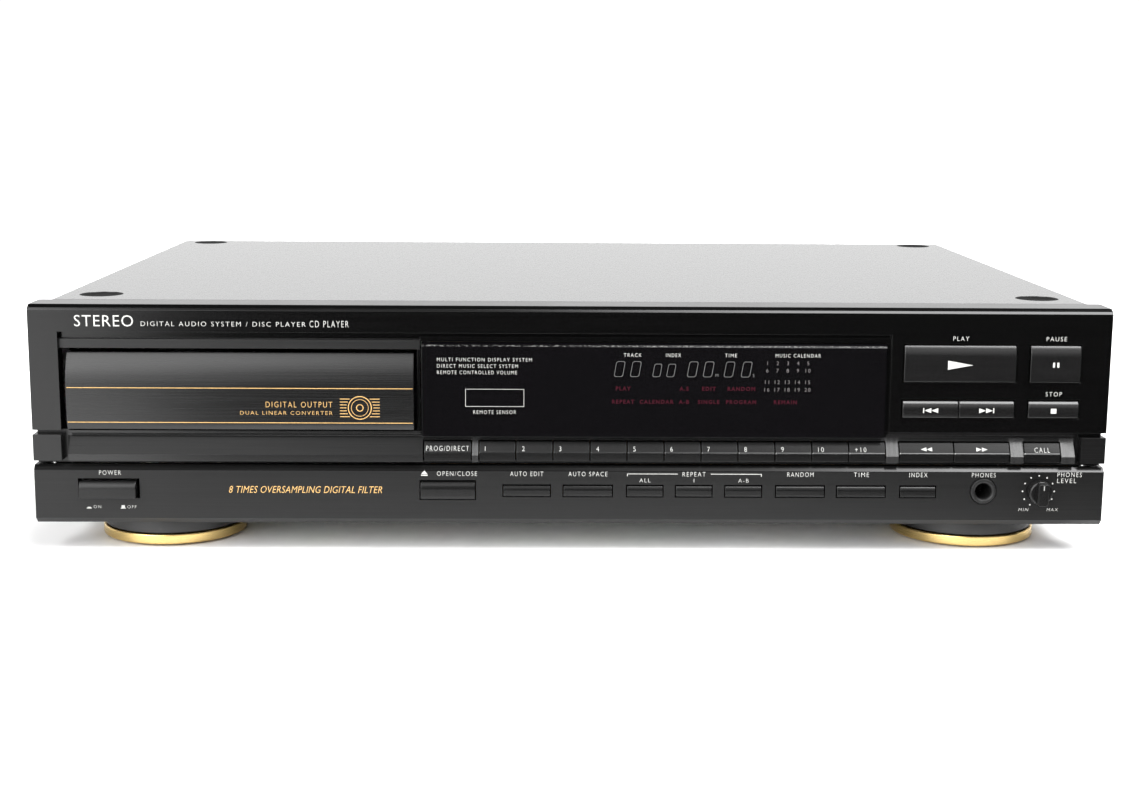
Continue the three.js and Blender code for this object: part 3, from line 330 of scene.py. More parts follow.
def bare_steel():
    """Galvanised steel: rolling streaks under large pale spangles."""
    finish = Finish("bare_steel", metallic=0.9)
    streak = finish.noise((30, 2, 2), detail=4)
    rolled = finish.mix(streak, (0.42, 0.42, 0.40), (0.58, 0.58, 0.55))
    finish.paint(0.12, rolled, finish.cells(7))
    finish.put("Roughness", finish.span(streak, 0.3, 0.5))
    finish.emboss(streak, 0.01)
    return finish.material


def window_acrylic():
    """Smoked acrylic with a broken line of pale dust specks on its top chamfer, which also serves as the
    chamfer's painted highlight; the chamfer is duller than the face.
    """
    finish = Finish("window_acrylic", coat_roughness=0.04)
    top = extent("display_window")[1].z
    height = finish.axis("Z")
    rise = finish.span(height, 0, 1, top - 1.5, top - 1.3)
    fall = finish.span(height, 1, 0, top - 1, top - 0.8)
    specks = finish.noise((1.4, 0.9, 0.5), detail=4, roughness=0.8)
    # dust that is also a painted highlight: pale specks in a band on the top chamfer
    dust = finish.times(rise, fall, finish.span(specks, 0.0, 1, 0.5, 0.62))
    finish.paint(dust, (0.0022, 0.002, 0.0024), (0.16, 0.16, 0.155))
    shine = finish.span(height, 1, 0.15, top - 1.5, top - 1.4)
    finish.put("Specular", finish.times(shine, 0.5))
    finish.put("Coat Weight", finish.times(shine, 0.3))
    finish.put("Roughness", finish.math("ADD", finish.span(finish.noise(9), 0.05, 0.12), dust))
    return finish.material


def circuit_board():
    """Brown board with darker tracks, and components of mixed dark colours above its face."""
    finish = Finish("circuit_board", roughness=0.5)
    tracks = finish.node("TexBrick", {"offset": 0.35}, {
        "Vector": finish.place, "Scale": 0.12, "Color1": (0.16, 0.085, 0.03), "Color2": (0.19, 0.10, 0.035),
        "Mortar": (0.09, 0.06, 0.025), "Mortar Size": 0.06})
    tint = finish.mix(finish.cells(26), (0.02, 0.02, 0.03), (0.10, 0.11, 0.14))
    tint = finish.mix(0.75, tint, (0.03, 0.03, 0.035))
    board_top = extent("main_board")[0].z + 1.7
    raised = finish.span(finish.axis("Z"), 0, 1, board_top, board_top + 0.1)
    finish.paint(raised, tracks.outputs[0], tint)
    finish.emboss(finish.noise(1.5), 0.02)
    return finish.material


def front_board_finish():
    """Brown board with long tracks along Y."""
    finish = Finish("front_board", roughness=0.5)
    tracks = finish.span(finish.noise((6, 40, 1.2), detail=1), 0, 1, 0.48, 0.52)
    finish.paint(tracks, (0.15, 0.08, 0.03), (0.2, 0.12, 0.05))
    return finish.material


def transformer_steel():
    """Stacked laminations, with the taped winding past both ends of the stack."""
    finish = Finish("transformer_steel", metallic=0.6)
    stack_half = 19.2
    stack = finish.waves(0.7, "Y")
    across = finish.away(finish.axis("Y"), middle("transformer").y)
    winding = finish.span(across, 0, 1, stack_half, stack_half + 0.2)
    steel = finish.mix(stack, (0.16, 0.165, 0.17), (0.3, 0.3, 0.31))
    finish.paint(winding, steel, (0.42, 0.28, 0.05))
    finish.put("Roughness", finish.span(stack, 0.35, 0.6))
    finish.emboss(stack, 0.05)
    return finish.material


def tube_glass():
    """Dark glass over the fine grid of a display tube."""
    finish = Finish("tube_glass", roughness=0.08, coat_weight=0.5)
    finish.paint(finish.waves(0.6, "X"), (0.01, 0.02, 0.02), (0.03, 0.05, 0.05))
    return finish.material


def turned_gold():
    """Gold anodised aluminium, turned: fine rings that run round the piece."""
    finish = Finish("turned_gold", metallic=1.0)
    lathe_mark = finish.noise((0.25, 2.5, 0.25), place=finish.round_place(), **STREAKS)
    finish.paint(lathe_mark, (0.64, 0.44, 0.15), (0.77, 0.58, 0.26))
    finish.put("Roughness", finish.span(lathe_mark, 0.2, 0.36))
    finish.emboss(lathe_mark, 0.012)
    return finish.material


def printed(name, colour, **values):
    """Screen-printed ink, a little uneven in density."""
    finish = Finish(name, roughness=0.6, **values)
    density = finish.span(finish.noise(0.7, detail=3), 0, 1, 0.35, 0.65)
    faded = tuple(0.8 * channel for channel in colour)
    finish.paint(density, faded, colour)
    return finish.material


# Name, darkest and lightest tone and roughness of each plain finish, and what else it sets.
BRUSHED = [
    ("tray_black", 0.003, 0.007, 0.26, {}),
    ("key_plastic", 0.003, 0.006, 0.24, {"depth": 0.0012, "specular": 0.32}),
    ("bright_key", 0.004, 0.008, 0.22, {"depth": 0.0012, "specular": 0.6}),
]
SATIN = [
    ("rear_paint", 0.011, 0.018, 0.45, {"grain": 0.8, "depth": 0.02}),
    ("black_plastic", 0.012, 0.022, 0.48, {"grain": 0.6, "depth": 0.02}),
    ("foot_plastic", 0.009, 0.016, 0.5, {"grain": 0.5, "depth": 0.012}),
    ("gear_nylon", (0.6, 0.58, 0.5), (0.72, 0.7, 0.62), 0.5, {}),
    ("cord_rubber", 0.01, 0.018, 0.55, {"grain": 0.9, "depth": 0.02}),
    ("rubber", 0.006, 0.011, 0.85, {"grain": 0.6, "depth": 0.02, "specular": 0.08}),
    # painted shade: near-black for hollows and gaps where only shade is seen
    ("dark_gap", 0.001, 0.003, 0.9, {}),
    ("screw_black", 0.02, 0.04, 0.3, {"grain": 0.4, "metallic": 0.8}),
    ("socket_white", (0.55, 0.55, 0.53), (0.7, 0.7, 0.68), 0.4, {}),
    ("socket_red", (0.35, 0.01, 0.01), (0.5, 0.02, 0.02), 0.4, {}),
    ("knob_plastic", 0.004, 0.006, 0.3, {"depth": 0.002, "specular": 0.35}),
    ("jack_plastic", 0.008, 0.012, 0.4, {"depth": 0.003, "specular": 0.3}),
    ("jack_black", 0.012, 0.02, 0.4, {"grain": 0.5}),
]
INKS = [
    ("ink_white", (0.52, 0.52, 0.5), {}),
    ("ink_grey", (0.3, 0.3, 0.29), {}),
    ("ink_gold", (0.60, 0.37, 0.13), {"metallic": 0.2}),
    ("ghost_grey", (0.15, 0.15, 0.15), {"specular": 0.1}),
    ("ghost_dim", (0.15, 0.14, 0.14), {"specular": 0.1}),
    ("ghost_red", (0.035, 0.004, 0.009), {"specular": 0.05}),
]


def make_finishes():
    """All finishes by name. The material slots of the frame's nodes go by some of these names."""
    finishes = {
        "fascia_black": fascia_anodise(), "lower_black": lower_anodise(), "cover_paint": cover_paint(),
        "bare_steel": bare_steel(), "window_acrylic": window_acrylic(), "gold_ring": turned_gold(),
        "circuit_board": circuit_board(), "transformer_steel": transformer_steel(),
        "tube_glass": tube_glass(),
    }
    for make, table in ((brushed, BRUSHED), (satin, SATIN), (printed, INKS)):
        for name, *tones, others in table:
            finishes[name] = make(name, *tones, **others)
    finishes["rail_black"] = finishes["tray_black"]
    return finishes


FINISHES = make_finishes()


def own_finishes():
    """Finishes of the nodes that don't take the one of their material slot."""
    rail_key = rail_key_plastic()
    own = {"front_board": front_board_finish(), "button_rail": rail_anodise()}
    own.update({f"{key}_button": rail_key for key in RAIL_KEYS})
    return own

# ---- meshes

FLAT_ANGLE = math.radians(1)        # faces this close to one plane become one
BEVEL_ANGLE = math.radians(20)
UPRIGHT = Matrix.Identity(4)
SIDEWAYS = Matrix(((0, 0, 1, 0), (1, 0, 0, 0), (0, 1, 0, 0), (0, 0, 0, 1)))   # outline in YZ, swept along X


def make_object(name, points, faces, finish, body="case", slot=None, origin=(0, 0, 0), smooth=True):
    """Turns points in millimetres, counted from the origin, into a piece that rides on a body."""
    mesh = bpy.data.meshes.new(name)
    mesh.from_pydata([Vector(p) * MM for p in points], [], faces)
    mesh.validate()
    mesh.materials.append(FINISHES[finish])
    if smooth:
        mesh.shade_smooth()
    piece = bpy.data.objects.new(name, mesh)
    piece.location = Vector(origin) * MM
    bpy.context.scene.collection.objects.link(piece)
    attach(piece, body)
    return piece


def modify(piece, kind, **settings):
    """Adds a modifier with its settings."""
    made = piece.modifiers.new(kind.lower(), kind)
    for key, value in settings.items():
        setattr(made, key, value)


def soften(piece, width, segments=2, merge=True):
    """Rounds the edges of a piece by modifiers, so that its own vertices stay as they are."""
    modify(piece, "WELD", merge_threshold=0.002 * MM)
    if merge:
        modify(piece, "DECIMATE", decimate_type="DISSOLVE", angle_limit=FLAT_ANGLE)
    modify(piece, "BEVEL", width=width * MM, segments=segments, limit_method="ANGLE", angle_limit=BEVEL_ANGLE,
           harden_normals=True)
    modify(piece, "WEIGHTED_NORMAL")


def circle(u, v, radius, sides):
    angles = (2 * math.pi * i / sides for i in range(sides))
    return [(u + radius * math.cos(a), v + radius * math.sin(a)) for a in angles]


class Solid:
    """Points and faces gathered from simple closed shapes, for one piece of fine detail."""

    def __init__(self):
        self.points = []
        self.faces = []

    def add(self, points, faces, matrix):
        start = len(self.points)
        self.points += [matrix @ Vector(p) for p in points]
        self.faces += [tuple(start + i for i in face) for face in faces]
        return self

    def prism(self, outline, start, end, matrix=UPRIGHT):
        """A counter-clockwise outline in XY swept from start to end along Z."""
        n = len(outline)
        points = [(x, y, z) for z in (start, end) for x, y in outline]
        sides = [(i, (i + 1) % n, n + (i + 1) % n, n + i) for i in range(n)]
        return self.add(points, [tuple(reversed(range(n))), tuple(range(n, 2 * n)), *sides], matrix)

    def block(self, low, high, matrix=UPRIGHT):
        (x0, y0, z0), (x1, y1, z1) = low, high
        return self.prism([(x0, y0), (x1, y0), (x1, y1), (x0, y1)], z0, z1, matrix)

    def turned(self, profile, matrix=UPRIGHT, sides=96):
        """A profile of (radius, height) turned about Z. A radius of 0 at either end closes it with a cap."""
        rings = [p for p in profile if p[0] > 0]
        points = [(x, y, z) for r, z in rings for x, y in circle(0, 0, r, sides)]
        open_ring = profile[0][0] > 0
        count = len(rings)
        faces = []
        for ring in range(count if open_ring else count - 1):
            a, b = ring * sides, (ring + 1) % count * sides
            faces += [(a + i, a + (i + 1) % sides, b + (i + 1) % sides, b + i) for i in range(sides)]
        if not open_ring:
            faces += [tuple(reversed(range(sides))), tuple(range((count - 1) * sides, count * sides))]
        return self.add(points, faces, matrix)

    def make(self, name, finish, body="case", **options):
        return make_object(name, self.points, self.faces, finish, body, **options)


def facing(way, x, y, z):
    """A frame at a place, whose Z points out of the front, the back, or the left or right side."""
    angle, axis = {"front": (90, "X"), "back": (-90, "X"), "left": (-90, "Y"), "right": (90, "Y")}[way]
    return Matrix.Translation((x, y, z)) @ Matrix.Rotation(math.radians(angle), 4, axis)


# ---- printing

CAP_HEIGHT = 0.729          # height of a capital in Blender's own font at size 1
DOT_SIDES, RING_SIDES = 20, 48
LABEL, SMALL_LABEL = 2.0, 1.6       # heights of most words on the front, and of the smaller ones


class Print:
    """Flat printing on one face. Places are (u, v) in millimetres, and face() turns them into X, Y, Z."""

    def __init__(self, face):
        self.face = face
        self.points = []
        self.faces = []

    def shape(self, outline):
        start = len(self.points)
        self.points += [self.face(u, v) for u, v in outline]
        self.faces.append(tuple(range(start, start + len(outline))))

    def bar(self, left, bottom, right, top):
        self.shape([(left, bottom), (right, bottom), (right, top), (left, top)])

    def box(self, left, bottom, right, top, line):
        self.bar(left, bottom, right, bottom + line)
        self.bar(left, top - line, right, top)
        self.bar(left, bottom + line, left + line, top - line)
        self.bar(right - line, bottom + line, right, top - line)

    def band(self, outer, inner):
        """A closed band between two outlines with the same number of points."""
        for i in range(len(outer)):
            j = (i + 1) % len(outer)
            self.shape([outer[i], outer[j], inner[j], inner[i]])

    def dot(self, u, v, radius):
        self.shape(circle(u, v, radius, DOT_SIDES))

    def ring(self, u, v, radius, line):
        self.band(circle(u, v, radius, RING_SIDES), circle(u, v, radius - line, RING_SIDES))

    def arrow(self, u, v, length, half, way=1):
        """A solid triangle that points to the right, or to the left when way is -1."""
        tail, tip = u - way * length / 2, u + way * length / 2
        self.shape([(tail, v - way * half), (tip, v), (tail, v + way * half)])

    def word(self, text, u, v, height, width=None, align=0.5, slant=0.0, weight=-0.012, gap=1.3):
        """Capitals with their foot at v. align 0, 0.5 or 1 puts their left, middle or right at u."""
        curve = bpy.data.curves.new("word", "FONT")
        curve.body = text
        curve.resolution_u = 3
        curve.offset = weight
        curve.space_character = gap
        holder = bpy.data.objects.new("word", curve)
        mesh = bpy.data.meshes.new_from_object(holder)
        left = min(vertex.co.x for vertex in mesh.vertices)
        length = max(vertex.co.x for vertex in mesh.vertices) - left
        scale = height / CAP_HEIGHT
        stretch = width / length if width else scale
        start = len(self.points)
        for vertex in mesh.vertices:
            x = (vertex.co.x - left - align * length) * stretch + slant * vertex.co.y * scale
            self.points.append(self.face(u + x, v + vertex.co.y * scale))
        self.faces += [tuple(start + i for i in polygon.vertices) for polygon in mesh.polygons]
        bpy.data.objects.remove(holder)
        bpy.data.curves.remove(curve)
        bpy.data.meshes.remove(mesh)

    def make(self, name, ink="ink_white", body="case"):
        return make_object(name, self.points, self.faces, ink, body, smooth=False)


def front_face(y):
    return lambda u, v: (u, y - PRINT_LIFT, v)


def rear_face(y):
    return lambda u, v: (-u, y + PRINT_LIFT, v)


def leaning_face(low, high):
    """A face across X through two (y, z) places."""
    rise = (high[0] - low[0]) / (high[1] - low[1])
    return lambda u, v: (u, low[0] + (v - low[1]) * rise - PRINT_LIFT, v)


# ---- frame nodes

# Keys with a rounded face: where the upper round starts and how far it falls back at the top, then the same
# for the foot, all as parts of the key's height.
TALL_CROWN = (0.6, 0.11, 0.2, 0.012)
BARREL_CROWN = (0.42, 0.26, 0.4, 0.045)
LOW_CROWN = (0.45, 0.24, 0.2, 0.02)
LOW_KEYS = ["power", "open_close", "auto_edit", "auto_space", "repeat_all", "repeat_one", "repeat_ab",
            "random", "time", "index"]
CROWNED_KEYS = {
    **dict.fromkeys(["play", "pause"], TALL_CROWN),
    **dict.fromkeys(["skip_back", "skip_forward", "stop"], BARREL_CROWN),
    **dict.fromkeys(LOW_KEYS, LOW_CROWN),
}
FINE_PIECES = {
    "level_knob", "phones_jack", "output_jacks", *(f"{key}_button" for key in CROWNED_KEYS),
    *(f"foot_{place}_{side}" for place in ("front", "ring", "rear") for side in SIDES),
}
EDGE_WIDTHS = {
    "upper_fascia": 0.12, "lower_fascia": 0.1, "button_rail": 0.12, "tray_front": 0.2, "display_window": 0.08,
    "top_cover": 0.15, "transformer": 0.6, "power_cord": 0.4,
}
KEY_EDGE, OTHER_EDGE = 0.28, 0.25


def dress_nodes():
    """Gives finishes and soft edges to the nodes that stay, apart from those that fine pieces replace."""
    own = own_finishes()
    for name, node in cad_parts.items():
        if name in FINE_PIECES:
            continue
        slot = node.material_slots[0]
        slot.material = own.get(name) or FINISHES[slot.material.name]
        mesh = node.data
        for attribute in ("custom_normal", "sharp_edge", "sharp_face"):
            if attribute in mesh.attributes:
                mesh.attributes.remove(mesh.attributes[attribute])
        mesh.shade_smooth()
        width = EDGE_WIDTHS.get(name, KEY_EDGE if name.endswith("_button") else OTHER_EDGE)
        soften(node, width, merge=name != "rear_panel")


# ---- printing on the front

RAIL_BASE = SLOPE_FOOT[1] + 0.45            # foot of the rail keys' marks
RAIL_LEGENDS = {"program": ("PROG/DIRECT", 17.3), "call": ("CALL", 6.3)}            # text and width
TRANSPORT_LABELS = {"play": ("PLAY", 6.4), "pause": ("PAUSE", 8.2), "stop": ("STOP", 6.6)}
LOWER_LABELS = {
    "auto_edit": ("AUTO EDIT", 13.4), "auto_space": ("AUTO SPACE", 15.8), "random": ("RANDOM", 10.7),
    "time": ("TIME", 6.2), "index": ("INDEX", 7.4),
}
REPEAT_LABELS = {"repeat_all": "ALL", "repeat_one": "1", "repeat_ab": "A-B"}


def print_fascia():
    low, high = extent("upper_fascia")
    marks = Print(front_face(low.y))
    base = high.z - 8.6
    marks.word("STEREO", low.x + 18.6, base, 4.8, width=23.4, align=0, weight=-0.004, gap=1.1)
    marks.word("DIGITAL AUDIO SYSTEM / DISC PLAYER", low.x + 45.0, base + 0.2, LABEL, width=65.4, align=0)
    marks.word("CD PLAYER", low.x + 112, base, 2.8, width=15.5, align=0)
    for key, (text, width) in TRANSPORT_LABELS.items():
        top = extent(f"{key}_button")[1].z
        marks.word(text, middle(f"{key}_button").x, top + 1.75, 1.9, width=width)
    marks.make("fascia_print")


def draw_play(marks, u, v):
    marks.arrow(u, v, 10.2, 1.85)


def draw_pause(marks, u, v):
    apart, half, tall = 0.85, 0.42, 2.0
    for centre in (u - apart, u + apart):
        marks.bar(centre - half, v + 0.2 - tall / 2, centre + half, v + 0.2 + tall / 2)


def draw_stop(marks, u, v):
    marks.bar(u - 1.15, v - 1.1, u + 1.15, v + 0.9)


def draw_skip(way):
    """Two triangles and a bar, to the right (1) or to the left (-1)."""
    def draw(marks, u, v):
        for step in (-1, 1):
            marks.arrow(u + step * 1.4 - way * 0.3, v, 2.8, 1.0, way)
        bar = u + way * 2.8
        marks.bar(bar - 0.22, v - 1.0, bar + 0.22, v + 1.0)

    return draw


KEY_SYMBOLS = {
    "play": draw_play, "pause": draw_pause, "stop": draw_stop, "skip_back": draw_skip(-1),
    "skip_forward": draw_skip(1),
}


def print_symbols():
    """Prints a symbol on the upright face of each transport key, a little below its middle."""
    for key, draw in KEY_SYMBOLS.items():
        marks = Print(front_face(extent(f"{key}_button")[0].y))
        centre = middle(f"{key}_button")
        draw(marks, centre.x, centre.z - 0.5)
        marks.make(f"{key}_print", body=f"{key}_key")


def print_rail():
    """Numbers at the left of the number keys, and words or arrows in the middle of the others."""
    for key in RAIL_KEYS:
        low, high = extent(f"{key}_button")
        centre = (low.x + high.x) / 2
        marks = Print(leaning_face(SLOPE_FOOT, SLOPE_HEAD))
        if key in RAIL_NUMBERS:
            marks.word(RAIL_NUMBERS[key], low.x + 2.3, RAIL_BASE, 1.9, align=0)
        elif key in RAIL_LEGENDS:
            text, width = RAIL_LEGENDS[key]
            marks.word(text, centre, RAIL_BASE, LABEL, width=width)
        else:
            way = 1 if key == "search_forward" else -1
            for step in (-1, 1):
                marks.arrow(centre + step * 1.15, RAIL_BASE + 1.1, 2.3, 0.75, way)
        marks.make(f"{key}_print", body=f"{key}_key")


def print_lower():
    low, high = extent("lower_fascia")
    marks = Print(front_face(low.y))
    label = high.z - 3.95
    for key, (text, width) in LOWER_LABELS.items():
        marks.word(text, middle(f"{key}_button").x, label, LABEL, width=width)
    marks.word("PHONES", middle("phones_jack").x, label, LABEL, width=9.7)
    print_open_close(marks, label)
    print_repeat(marks, label)
    print_power(marks, label)
    print_level(marks, high.z)
    marks.make("lower_print")
    gold = Print(front_face(low.y))
    gold.word("8 TIMES OVERSAMPLING DIGITAL FILTER", low.x + 78, low.z + 12.8, 3.0, width=62.0, align=0,
              slant=0.22, weight=-0.004, gap=1.05)
    gold.make("filter_print", "ink_gold")


def print_open_close(marks, label):
    """The word, and before it a triangle over a bar."""
    low, high = extent("open_close_button")
    left, right = low.x + 0.3, low.x + 2.9
    marks.word("OPEN/CLOSE", high.x + 0.8, label, LABEL, width=16.2, align=1)
    marks.shape([(left, label + 0.75), (right, label + 0.75), ((left + right) / 2, label + 2.2)])
    marks.bar(left, label, right, label + 0.5)


def print_repeat(marks, label):
    """The word, with a rule to either side that turns down at the end of the group of keys."""
    centre = middle("repeat_one_button").x
    left = extent("repeat_all_button")[0].x
    right = extent("repeat_ab_button")[1].x
    rule, line = label + 0.9, 0.25
    marks.word("REPEAT", centre, label, LABEL, width=9.4)
    for start, end, tick in ((left, centre - 6.6, left), (centre + 6.8, right, right - line)):
        marks.bar(start, rule, end, rule + line)
        marks.bar(tick, rule - 0.9, tick + line, rule)
    for key, text in REPEAT_LABELS.items():
        marks.word(text, middle(f"{key}_button").x, label - 2.45, 1.7)


def print_power(marks, label):
    """The word above the button, and under it a pushed key and a standing key with their words."""
    centre = middle("power_button").x
    row = extent("power_button")[0].z - 4.7
    marks.word("POWER", centre + 0.8, label, LABEL, width=8.8)
    for text, left, key_left, tall in (("ON", -6.3, -9.1, 0.7), ("OFF", 7.3, 4.6, 1.4)):
        marks.word(text, centre + left, row + 0.1, 1.35, align=0)
        key = centre + key_left
        marks.bar(key, row, key + 2.0, row + 0.35)
        marks.bar(key + 0.35, row + 0.35, key + 1.65, row + tall)


def print_level(marks, top):
    """Eleven dots round the level knob, every 30 degrees, and the words beside it."""
    knob = middle("level_knob")
    scale = 6.5
    for step in range(-5, 6):
        angle = math.radians(90 - 30 * step)
        marks.dot(knob.x + scale * math.cos(angle), knob.z + scale * math.sin(angle), 0.32)
    marks.word("PHONES", knob.x + 7.5, top - 3.7, LABEL, width=9.9, align=0)
    marks.word("LEVEL", knob.x + 7.5, top - 6.2, LABEL, width=7.8, align=0)
    marks.word("MIN", knob.x - 5.9, knob.z - 8.3, 1.3, width=3.9, slant=0.2)
    marks.word("MAX", knob.x + 6.0, knob.z - 8.3, 1.3, width=4.5, slant=0.2)


def print_drawer():
    """Two gold lines across the drawer's front, and words with an emblem towards its right."""
    low, high = extent("tray_front")
    gold = Print(front_face(low.y))
    icon = high.x - 21.6
    text_end = icon - 11
    gold.word("DIGITAL OUTPUT", text_end, low.z + 9.3, 2.5, align=1, width=26.7)
    gold.word("DUAL LINEAR CONVERTER", text_end, low.z + 6.3, SMALL_LABEL, align=1, width=37)
    print_emblem(gold, icon, low.z + 9.2)
    for height in (low.z + 16.9, low.z + 2.85):
        gold.bar(low.x + 0.3, height, high.x - 0.3, height + 0.3)
    gold.make("drawer_print", "ink_gold", "drawer")


def print_emblem(marks, u, v):
    """A plain disc between two groups of stripes."""
    reach, clear, half = 8, 5.4, 0.15
    for radius, line in ((4.8, 0.35), (3.5, 0.2), (1.5, 0.35)):
        marks.ring(u, v, radius, line)
    for step in range(-3, 4):
        rise = step * 1.2
        inner = math.sqrt(clear ** 2 - rise ** 2)
        for left, right in ((-reach, -inner), (inner, reach)):
            marks.bar(u + left, v + rise - half, u + right, v + rise + half)


# ---- the display

# Words with their distance from the window's left edge, and with their width where it isn't the font's own.
WINDOW_LINES = [
    ("MULTI FUNCTION DISPLAY SYSTEM", 38.0), ("DIRECT MUSIC SELECT SYSTEM", 32.4),
    ("REMOTE CONTROLLED VOLUME", 32.0),
]
COLUMN_HEADS = [
    ("TRACK", 84.6, 7.1), ("INDEX", 101.0, 6.0), ("TIME", 124.1, 4.8), ("MUSIC CALENDAR", 151.2, 18.2),
]
UPPER_WORDS = [("PLAY", 81), ("A.S", 105.5), ("EDIT", 115.5), ("RANDOM", 128.6)]
LOWER_WORDS = [
    ("REPEAT", 81), ("CALENDAR", 94.5), ("A-B", 105.5), ("SINGLE", 115.5), ("PROGRAM", 128.6),
    ("REMAIN", 146.5),
]
LARGE_DIGITS = (77.1, 83.6, 106.5, 112.9, 121.3, 128.2)
SMALL_DIGITS = (92.6, 98.2)
CALENDAR_ROWS = (3.1, 6.1, 10.8, 13.9)      # below the heads
CALENDAR_COLUMNS = 5


def digit(marks, left, bottom, width, height):
    """The outline of an unlit slanting nought, as a thin band with cut corners."""
    line, slant, cut = 0.16, 0.17, width * 0.16

    def loop(inset):
        x0, x1, y0, y1 = inset, width - inset, inset, height - inset
        corner = max(cut - inset * 0.4, 0.05)
        return [(left + x + slant * y, bottom + y) for x, y in (
            (x0 + corner, y0), (x1 - corner, y0), (x1, y0 + corner), (x1, y1 - corner),
            (x1 - corner, y1), (x0 + corner, y1), (x0, y1 - corner), (x0, y0 + corner))]

    marks.band(loop(0), loop(line))


def print_display():
    low, high = extent("display_window")
    white = Print(front_face(low.y))
    for row, (text, width) in enumerate(WINDOW_LINES):
        white.word(text, low.x + 6.2, high.z - 7.5 - 2.6 * row, 1.55, width=width, align=0)
    sensor = low.x + 17.5
    white.box(sensor, low.z + 12.4, sensor + 23.6, low.z + 19.6, 0.15)
    white.word("REMOTE SENSOR", sensor + 11.8, low.z + 9.4, SMALL_LABEL, width=17.2)
    heads = high.z - 5.4
    for text, offset, width in COLUMN_HEADS:
        white.word(text, low.x + offset, heads, 1.55, width=width)
    white.make("window_print")
    print_ghosts(low, heads)


def print_ghosts(low, heads):
    """The unlit digits, track numbers and words of the display tube."""
    grey, calendar, red = (Print(front_face(low.y)) for _ in range(3))
    for offset in LARGE_DIGITS:
        digit(grey, low.x + offset, heads - 8.1, 3.6, 6.3)
    for offset in SMALL_DIGITS:
        digit(grey, low.x + offset, heads - 8.1, 3.1, 5.3)
    grey.word("M", low.x + 118.6, heads - 8.0, 1.3)
    grey.word("S", low.x + 133.4, heads - 8.0, 1.3)
    grey.make("display_digits", "ghost_grey")
    for index in range(CALENDAR_COLUMNS * len(CALENDAR_ROWS)):
        row, column = divmod(index, CALENDAR_COLUMNS)
        calendar.word(str(index + 1), low.x + 138.9 + column * 4.1, heads - CALENDAR_ROWS[row], SMALL_LABEL)
    calendar.make("display_calendar", "ghost_dim")
    for words, drop in ((UPPER_WORDS, 13.6), (LOWER_WORDS, 19.0)):
        for text, offset in words:
            red.word(text, low.x + offset, heads - drop, SMALL_LABEL, weight=0.035)
    red.make("display_words", "ghost_red")


# ---- fine pieces

CROWN_STEPS = 20


def build_crowned_key(key, shape):
    """A key whose face is one smooth curve from foot to top, with the stem that reaches its switch."""
    node = f"{key}_button"
    low, high = extent(node)
    centre = (low + high) / 2
    head_start, head_fall, foot_start, foot_fall = shape
    tall = high.z - low.z
    back = extent("upper_fascia")[0].y + 6.6
    outline = [(back, high.z)]
    for i in range(CROWN_STEPS + 1):
        part = 1 - i / CROWN_STEPS
        fall = head_fall * max(0, (part - head_start) / (1 - head_start)) ** 3
        fall += foot_fall * max(0, (foot_start - part) / foot_start) ** 2
        outline.append((low.y + fall * tall, low.z + part * tall))
    outline.append((back, low.z))
    solid = Solid().prism(outline, low.x, high.x, SIDEWAYS)
    solid.block((centre.x - 2, back - 1, centre.z - 1.5), (centre.x + 2, high.y, centre.z + 1.5))
    finish = "key_plastic" if shape is LOW_CROWN else "bright_key"
    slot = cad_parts[node].material_slots[0].material.name
    piece = solid.make(f"{key}_crowned", finish, f"{key}_key", slot=slot)
    soften(piece, KEY_EDGE, segments=3)
    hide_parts(node)


def replace_turned(node, finish, edge, profile, sides=96):
    """Puts a finer turned piece in the place of a round frame node."""
    centre = middle(node)
    solid = Solid().turned(profile, sides=sides)
    piece = solid.make(f"{node}_turned", finish, slot=finish, origin=(centre.x, centre.y, 0))
    soften(piece, edge)
    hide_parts(node)


def sole(groove, depth):
    """The start of a foot's profile: its middle, and a shallow groove 2 mm wide in the sole."""
    slope = 0.3
    return [(0, 0), (groove, 0), (groove + slope, depth), (groove + 2 - slope, depth), (groove + 2, 0)]


def radius_and_ends(node):
    low, high = extent(node)
    return (high.x - low.x) / 2, low.z, high.z


def build_front_foot(side):
    """A foot whose core narrows under its step, where the gold ring goes round it."""
    radius, _, top = radius_and_ends(f"foot_front_{side}")
    ring_radius, _, ring_top = radius_and_ends(f"foot_ring_{side}")
    core, step = ring_radius - 4.3, ring_top + 0.3
    replace_turned(f"foot_front_{side}", "foot_plastic", 0.12, sole(core - 6, 0.5) + [
        (core - 1.4, 0), (core - 0.4, 0.4), (core, 1.0), (core, step), (radius - 0.4, step),
        (radius, step + 0.4), (radius, top - 1.6), (radius - 0.4, top - 0.5), (radius - 1.2, top), (0, top)])


def build_gold_ring(side):
    radius, bottom, top = radius_and_ends(f"foot_ring_{side}")
    inner = radius - 3.9
    replace_turned(f"foot_ring_{side}", "gold_ring", 0.08, [
        (inner, bottom), (radius - 0.5, bottom), (radius - 0.15, bottom + 0.15), (radius, bottom + 0.5),
        (radius, top - 0.5), (radius - 0.15, top - 0.15), (radius - 0.5, top), (inner, top)], sides=128)


def build_rear_foot(side):
    radius, _, top = radius_and_ends(f"foot_rear_{side}")
    replace_turned(f"foot_rear_{side}", "foot_plastic", 0.15, sole(radius - 9, 0.4) + [
        (radius - 4, 0), (radius - 3, 1.5), (radius - 0.6, 2.2), (radius, 3.2), (radius, top - 1.4),
        (radius - 1, top), (0, top)])


